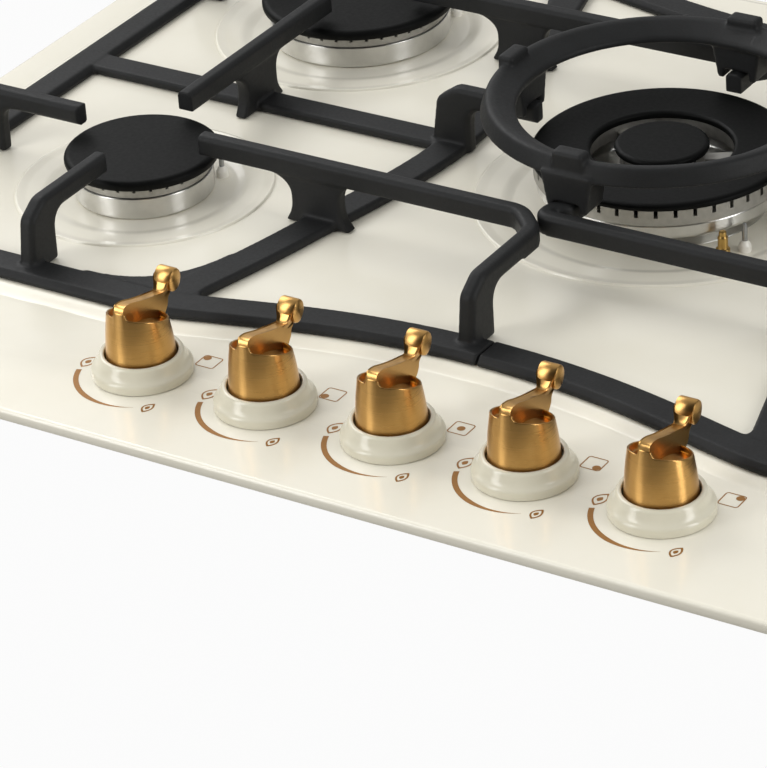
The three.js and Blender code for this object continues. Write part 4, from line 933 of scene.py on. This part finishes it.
bridge = layered(
    [rounded([(19, -3.5, 0.5), (38, -3.5, 0.5), (38, 3.5, 0.5), (19, 3.5, 0.5)])] * 2,
    [18.7, 22.7], lambda p, z: (p.x, p.y, z),
)
wok_spreader = shell("wok_flame_ring", merged([
    toothed(*WOK_CROWN, *WOK_SLOTS),
    lathe(rounded([
        (36, 18.7, 0.3), (57.5, 18.7, 0), (57.5, 20.7, 0), (40, 20.7, 1.5), (40, 26.3, 0.6),
        (36, 26.3, 0.6),
    ]), WOK_SIDES),
    toothed(*INNER_CROWN, *INNER_SLOTS),
    lathe([(12, 18.7), (16.1, 18.7), (16.1, 20.7), (12, 20.7)], TURNED_SIDES),
    *(moved(bridge, turn=turn) for turn in BRIDGE_TURNS),
]), cast_alloy, wok_at)
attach(wok_spreader, "base")
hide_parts("wok_flame_spreader")

outer_cap = shell("wok_ring_cap", lathe(rounded([
    (34, 26.6, 0.4), (61.8, 26.6, 0.4), (WOK_CAP_R, 27.2, 0.5), (WOK_CAP_R, 28.8, 0.8),
    (60.6, 30, 1.4), (35.2, 30, 0.9), (34, 29, 0.6),
]), WOK_SIDES), cap_enamel, wok_at)
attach(outer_cap, "base")
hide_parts("wok_outer_cap")
inner_cap = shell("wok_middle_cap", lathe(rounded([
    (0, 28.3, 0), (22, 28.3, 0.4), (22.5, 28.9, 0.5), (22.5, 30.6, 0.8), (21.1, 31.8, 1.2),
    (0, 31.8, 0),
]), TURNED_SIDES), cap_enamel, wok_at)
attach(inner_cap, "base")
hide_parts("wok_inner_cap")

# ---------------------------------------------------------------- sparks and flame sensors
# At each burner's edge a white ceramic holds a steel spark pin. The brass tip of the flame
# sensor, which shuts the gas when the flame goes out, stands at the edge too.
SPARK_FOOT = -22
PIN_TOP = 16
SENSOR_FOOT = -8
SENSOR_R = 2.4
SENSOR_TOP = 15
SENSOR_GAP = 1.6
SENSOR_TURN = {**dict.fromkeys(BURNERS, 95), "wok": -37}
ROD_SIDES = 32
PIN_SIDES = 20

ceramic = Finish("spark_ceramic", Roughness=0.3, Coat_Weight=0.4)
ceramic.set("Base Color", ceramic.mix(ceramic.noise(3), tone(232, 228, 216), tone(244, 241, 233)))
for name, turn in SENSOR_TURN.items():
    spark_x, spark_y, low, high = centre_of(f"{name}_electrode")
    spark = shell(f"{name}_spark_ceramic", lathe(rounded([
        (0, SPARK_FOOT, 0), (3, SPARK_FOOT, 0.4), (3, 4.5, 0.5), (2.2, 6, 0.6), (1.6, 7, 0.4),
        (0, 7, 0),
    ]), ROD_SIDES), ceramic, (spark_x, spark_y, PANEL_TOP))
    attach(spark, "base")
    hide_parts(f"{name}_electrode")
    pin = shell(f"{name}_spark_pin", lathe(rounded([
        (0, 6, 0), (1.3, 6, 0), (1.3, 13, 0.3), (1, PIN_TOP, 0.6), (0, PIN_TOP, 0),
    ]), PIN_SIDES), spindle_steel, (spark_x, spark_y, PANEL_TOP))
    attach(pin, "base")
    centre = centre_of("wok_inner_cap" if name == "wok" else f"{name}_burner_cap")
    edge = WOK_CAP_R if name == "wok" else BURNERS[name][0] + CUP_OVERHANG
    reach = edge + SENSOR_R + SENSOR_GAP
    sensor = shell(f"{name}_flame_sensor", lathe(rounded([
        (0, SENSOR_FOOT, 0), (3.4, SENSOR_FOOT, 0), (3.4, 6, 0.4), (SENSOR_R, 6.6, 0.4),
        (SENSOR_R, 12, 0.4), (1.8, 12.6, 0.4), (1.8, SENSOR_TOP, 0.9), (0, SENSOR_TOP, 0),
    ]), ROD_SIDES), tap_brass, (
        centre[0] + reach * math.cos(math.radians(turn)),
        centre[1] + reach * math.sin(math.radians(turn)), PANEL_TOP,
    ))
    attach(sensor, "base")

# ---------------------------------------------------------------- pan supports
# Two castings of grey iron under matt black enamel, lifted off by hand. Each has a low rail
# that follows the raised field, a low strap and bridge across it, and tall fingers and arms
# that rise from rail and strap to carry the pans. The right one is the left one turned round.
RAIL = (3.3, 8.3)
RAIL_BEVEL = 2.6
RAIL_SIDE = 336
SEAM_AT = 4
SEAM_GAP = 1
STRAP_LINE = [(-154.5, -197.5), (-133, -112.5), (-115, 0), (-133, 112.5), (-154.5, 197.5)]
STRAP_WIDTH = 17.3
STRAP_STEPS = 10
CROSS_WIDTH = 16
LOW_DROP = 0.3
LOW_BEVEL = 1.2
WEB_OUT = 42
WEB_IN = 10
WEB_STEPS = 10
ARM = (28, 38)
ARM_WIDTH = 8.4
ARM_BEVEL = 1.8
BURNER_X = 232
BURNER_Y = 98.5
SET_IN = 2.4
FREE_CIRCLE = 35
WOK_FREE_CIRCLE = 66
LEG_SETBACK = 2
LEG_DEPTH = 22
FINGER_STEPS = 6
POST_X = 130.8
POST_LAYERS = ((-3.4, -0.8), (-2.6, 0), (2.6, 0), (3.4, -0.8))
STRAP_BEYOND = 12
ELBOW_X = 6.8
ELBOW_CUT = 13.6
CAST_GRAIN = 0.8
CAST_PASSES = 3
CAST_SOFT = 0.5
CAST_THIN = 0.35


def sweep(path, section):
    """A bar along a plan path, from a closed section of (to the left, up)."""
    n = len(section)
    points = []
    for i, here in enumerate(path):
        before = (here - path[max(i - 1, 0)]).normalized()
        after = (path[min(i + 1, len(path) - 1)] - here).normalized()
        along = (before + after).normalized()
        run = after if after.length else before
        left = Vector((-along.y, along.x)) / max(along.dot(run), 0.5)
        points += [(here.x + left.x * u, here.y + left.y * u, z) for u, z in section]
    faces = [tuple(range(n)), tuple(range(len(points) - n, len(points)))]
    for k in range(len(path) - 1):
        for i in range(n):
            j = (i + 1) % n
            faces.append((k * n + i, k * n + j, (k + 1) * n + j, (k + 1) * n + i))
    return points, faces


def bar(width, bottom, top, bevel):
    """A bar's section with its top edges bevelled."""
    w = width / 2
    return [
        (-w, bottom), (w, bottom), (w, top - bevel),
        (w - bevel, top), (bevel - w, top), (-w, top - bevel),
    ]


def smooth_line(knots, steps):
    """A soft curve through the knots."""
    knots = [Vector(k) for k in knots]
    ends = [knots[0] * 2 - knots[1], *knots, knots[-1] * 2 - knots[-2]]
    line = [knots[0]]
    for a, b, c, d in zip(ends, ends[1:], ends[2:], ends[3:]):
        for i in range(1, steps + 1):
            t = i / steps
            line.append((
                b * 2 + (c - a) * t + (a * 2 - b * 5 + c * 4 - d) * t * t
                + (b * 3 - a - c * 3 + d) * t ** 3
            ) / 2)
    return line


def finger(reach):
    """A leg on a rail that turns into a level arm, from its outer face along X."""
    low, under, top = RAIL[0], ARM[0], ARM[1]
    side = rounded([
        (0, low, 0), (LEG_DEPTH, low, 0), (LEG_DEPTH + 0.3, under, 9), (reach, under, 0),
        (reach, top, 0), (15, top, 3), (4, top - 7.5, 3),
    ], FINGER_STEPS)
    half_width = ARM_WIDTH / 2
    layers = [(-half_width, -ARM_BEVEL), (ARM_BEVEL - half_width, 0)]
    layers += [(half_width - ARM_BEVEL, 0), (half_width, -ARM_BEVEL)]
    outlines = [offset(side, inset) for _, inset in layers]
    return layered(outlines, [y for y, _ in layers], lambda p, y: (p.x, y, p.y))


def post():
    """A post from a strap up to an arm along X, spread at its foot and under the arm."""
    low, high = RAIL[0], ARM[0] + 2
    side = rounded([
        (-19, low, 0), (17, low, 0), (12, low + 7, 5), (12, high - 6, 6), (21, high, 0),
        (-34, high, 0), (-15, high - 6, 9), (-15, low + 7, 5),
    ], FINGER_STEPS)
    outlines = [offset(side, inset) for _, inset in POST_LAYERS]
    return layered(outlines, [y for y, _ in POST_LAYERS], lambda p, y: (p.x, y, p.y))


def arm(corners):
    """A level arm along a plan line whose inner corners are rounded."""
    line = [Vector(corners[0][:2])]
    line += rounded(corners, FINGER_STEPS)[1:-1]
    line.append(Vector(corners[-1][:2]))
    return sweep(line, bar(ARM_WIDTH, ARM[0], ARM[1], ARM_BEVEL))


def rail_line():
    x, y = RAIL_SIDE - FIELD_CORNER, RAIL_FRONT - FIELD_CORNER
    half_gap = SEAM_GAP / 2
    middle = RAIL_FRONT - RAIL_BOW
    front = bow(20)
    return (
        [Vector((SEAM_AT - half_gap, -middle))] + front[::-1]
        + arc(-x, -y, FIELD_CORNER, 270, 180, 12) + arc(-x, y, FIELD_CORNER, 180, 90, 12)
        + [Vector((p.x, -p.y)) for p in front[:-1]] + [Vector((-SEAM_AT - half_gap, middle))]
    )


def web(side, end, reach):
    """The web in the corner between the strap and a rail."""
    edge = RAIL_FRONT - RAIL_WIDTH / 2
    end_x, knee_x, knee_y = STRAP_LINE[0][0], STRAP_LINE[1][0], -STRAP_LINE[1][1]
    lean = (knee_x - end_x) / (RAIL_FRONT - knee_y)

    def side_x(y):
        return side * STRAP_WIDTH / 2 + end_x + lean * (RAIL_FRONT - y)
    start, stop = side_x(edge), edge - reach
    curve = []
    for i in range(WEB_STEPS + 1):
        t = i / WEB_STEPS
        x = (start + side * reach) * (1 - t) ** 2 + start * 2 * t * (1 - t) + side_x(stop) * t * t
        y = edge * (1 - t * t) + stop * t * t
        curve.append(Vector((x, end * y)))
    curve += [
        Vector((side_x(stop) - side * 2, end * stop)), Vector((start - side * 2, end * (edge + 2))),
        Vector((start + side * reach, end * (edge + 2))),
    ]
    return layered([curve, curve], [RAIL[0], RAIL[1] - 0.4], lambda p, z: (p.x, p.y, z))


def pan_support_form():
    x, y = BURNER_X - SET_IN, BURNER_Y - SET_IN
    tip_x, tip_y = BURNER_X - FREE_CIRCLE, BURNER_Y + FREE_CIRCLE
    rail_out, side_out = RAIL_FRONT + LEG_SETBACK, RAIL_SIDE + LEG_SETBACK
    elbow_out = RAIL_FRONT - RAIL_BOW + LEG_SETBACK
    to_rail = finger(rail_out - tip_y)
    to_side = finger(side_out - BURNER_X - FREE_CIRCLE)
    low_bar = bar(STRAP_WIDTH, RAIL[0], RAIL[1] - LOW_DROP, LOW_BEVEL)
    cross = bar(CROSS_WIDTH, RAIL[0], RAIL[1] - LOW_DROP, LOW_BEVEL)
    strap_out = -STRAP_LINE[2][0] + STRAP_BEYOND
    half_cross = BURNER_Y - FREE_CIRCLE
    return merged([
        sweep(rail_line(), bar(RAIL_WIDTH, RAIL[0], RAIL[1], RAIL_BEVEL)),
        sweep(smooth_line(STRAP_LINE, STRAP_STEPS), low_bar),
        *(web(-1, end, WEB_OUT) for end in (-1, 1)),
        *(web(1, end, WEB_IN) for end in (-1, 1)),
        sweep([Vector((-RAIL_SIDE, 0)), Vector((STRAP_LINE[2][0], 0))], cross),
        moved(to_rail, -x, -rail_out, turn=90),
        moved(to_rail, -x, rail_out, turn=-90),
        moved(to_side, -side_out, -y),
        moved(to_side, -side_out, y),
        arm([
            (-tip_x, -y, 0), (-ELBOW_X - ELBOW_CUT, -y, 5), (-ELBOW_X, -y - ELBOW_CUT, 5),
            (-ELBOW_X, -y - 2 * ELBOW_CUT, 0),
        ]),
        moved(finger(elbow_out - y - 1.5 * ELBOW_CUT), -ELBOW_X, -elbow_out, turn=90),
        moved(post(), -POST_X, -y),
        arm([(-tip_x, y, 0), (9, y, 6), (9, y - 8, 4), (3, 84, 2), (3, WOK_FREE_CIRCLE, 0)]),
        moved(post(), -POST_X, y),
        arm([(-x, -half_cross, 0), (-x, half_cross, 0)]),
        moved(post(), -x, 0, turn=90),
        moved(finger(strap_out - WOK_FREE_CIRCLE), -strap_out, 0),
    ])


def cast(piece, passes):
    """Melts the overlapping forms of a casting into one, with soft edges and fillets."""
    melt = piece.modifiers.new("melt", "REMESH")
    melt.mode = "VOXEL"
    melt.voxel_size = CAST_GRAIN * MM
    soften = piece.modifiers.new("soften", "SMOOTH")
    soften.factor = CAST_SOFT
    soften.iterations = passes
    thin = piece.modifiers.new("thin", "DECIMATE")
    thin.ratio = CAST_THIN
    done = piece.evaluated_get(bpy.context.evaluated_depsgraph_get())
    mesh = bpy.data.meshes.new_from_object(done)
    piece.modifiers.clear()
    piece.data = mesh
    mesh.shade_smooth()


cast_iron = Finish("black_cast_iron", Specular_IOR_Level=0.25)
grit = cast_iron.noise(0.7, 4, 0.6)
cast_iron.set("Base Color", cast_iron.mix(
    cast_iron.noise(14, 4) * 0.5 + grit * 0.5, tone(22, 22, 21), tone(40, 41, 42),
))
cast_iron.set("Roughness", 0.42 + 0.22 * cast_iron.noise(1.6, 4))
cast_iron.bump(grit, 0.12, 0.5)

left_support = shell("cast_support_left", pan_support_form(), cast_iron, wok_at)
cast(left_support, CAST_PASSES)
right_support = left_support.copy()
right_support.name = "cast_support_right"
right_support.rotation_euler = (0, 0, math.pi)
bpy.context.scene.collection.objects.link(right_support)
for piece, node in ((left_support, "left_pan_support"), (right_support, "right_pan_support")):
    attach(piece, "base")
    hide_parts(node)

# ---------------------------------------------------------------- wok ring
# A thick cast hoop that drops over the four fingers round the wok burner. Its lugs sit astride
# the fingers, and their raised tops hold the side of the wok.
RING_TOP = 59
RING_BOTTOM = 50
RING_PASSES = 5
LUG_TOP = 63
LUG_EDGE = 1.2
LUG_BODY = [(75.5, -8, 1), (84, -8, 1), (84, 8, 1), (75.5, 8, 1)]
LUG_SHIFT = 3
LUG_LENGTH = (69, 85.5)
CHEEK = [(6.7, 33.5), (10, 33.5), (13.5, 53), (6.7, 53)]
SADDLE = [(-9, 38.3), (9, 38.3), (9, 53), (-9, 53)]


def lug():
    """A raised top on the hoop, and below it a saddle and two cheeks astride the finger."""
    body = rounded(LUG_BODY)
    top = layered(
        [body, body, offset(body, -LUG_EDGE)], [RING_BOTTOM, LUG_TOP - LUG_EDGE, LUG_TOP],
        lambda p, z: (p.x, p.y, z),
    )
    plates = [[Vector((side * y, z)) for y, z in CHEEK] for side in (-1, 1)]
    plates.append([Vector(corner) for corner in SADDLE])
    return merged([top, *(
        layered([plate, plate], LUG_LENGTH, lambda p, x: (x, p.x, p.y)) for plate in plates
    )])


def wok_ring_form():
    hoop = lathe(rounded([
        (68, RING_BOTTOM, 1), (85.5, RING_BOTTOM, 1.5), (82, RING_TOP, 2), (78, RING_TOP, 1.5),
        (68, RING_BOTTOM + 3, 1),
    ]), WOK_SIDES)
    shifts = (0, -LUG_SHIFT, 0, -LUG_SHIFT)
    lugs = [moved(moved(lug(), 0, shift), turn=90 * i) for i, shift in enumerate(shifts)]
    return merged([hoop, *lugs])


wok_ring = shell("cast_wok_ring", wok_ring_form(), cast_iron, wok_at)
cast(wok_ring, RING_PASSES)
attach(wok_ring, "base")
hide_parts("wok_ring")

# ---------------------------------------------------------------- close
bpy.context.scene.view_settings.view_transform = "Standard"
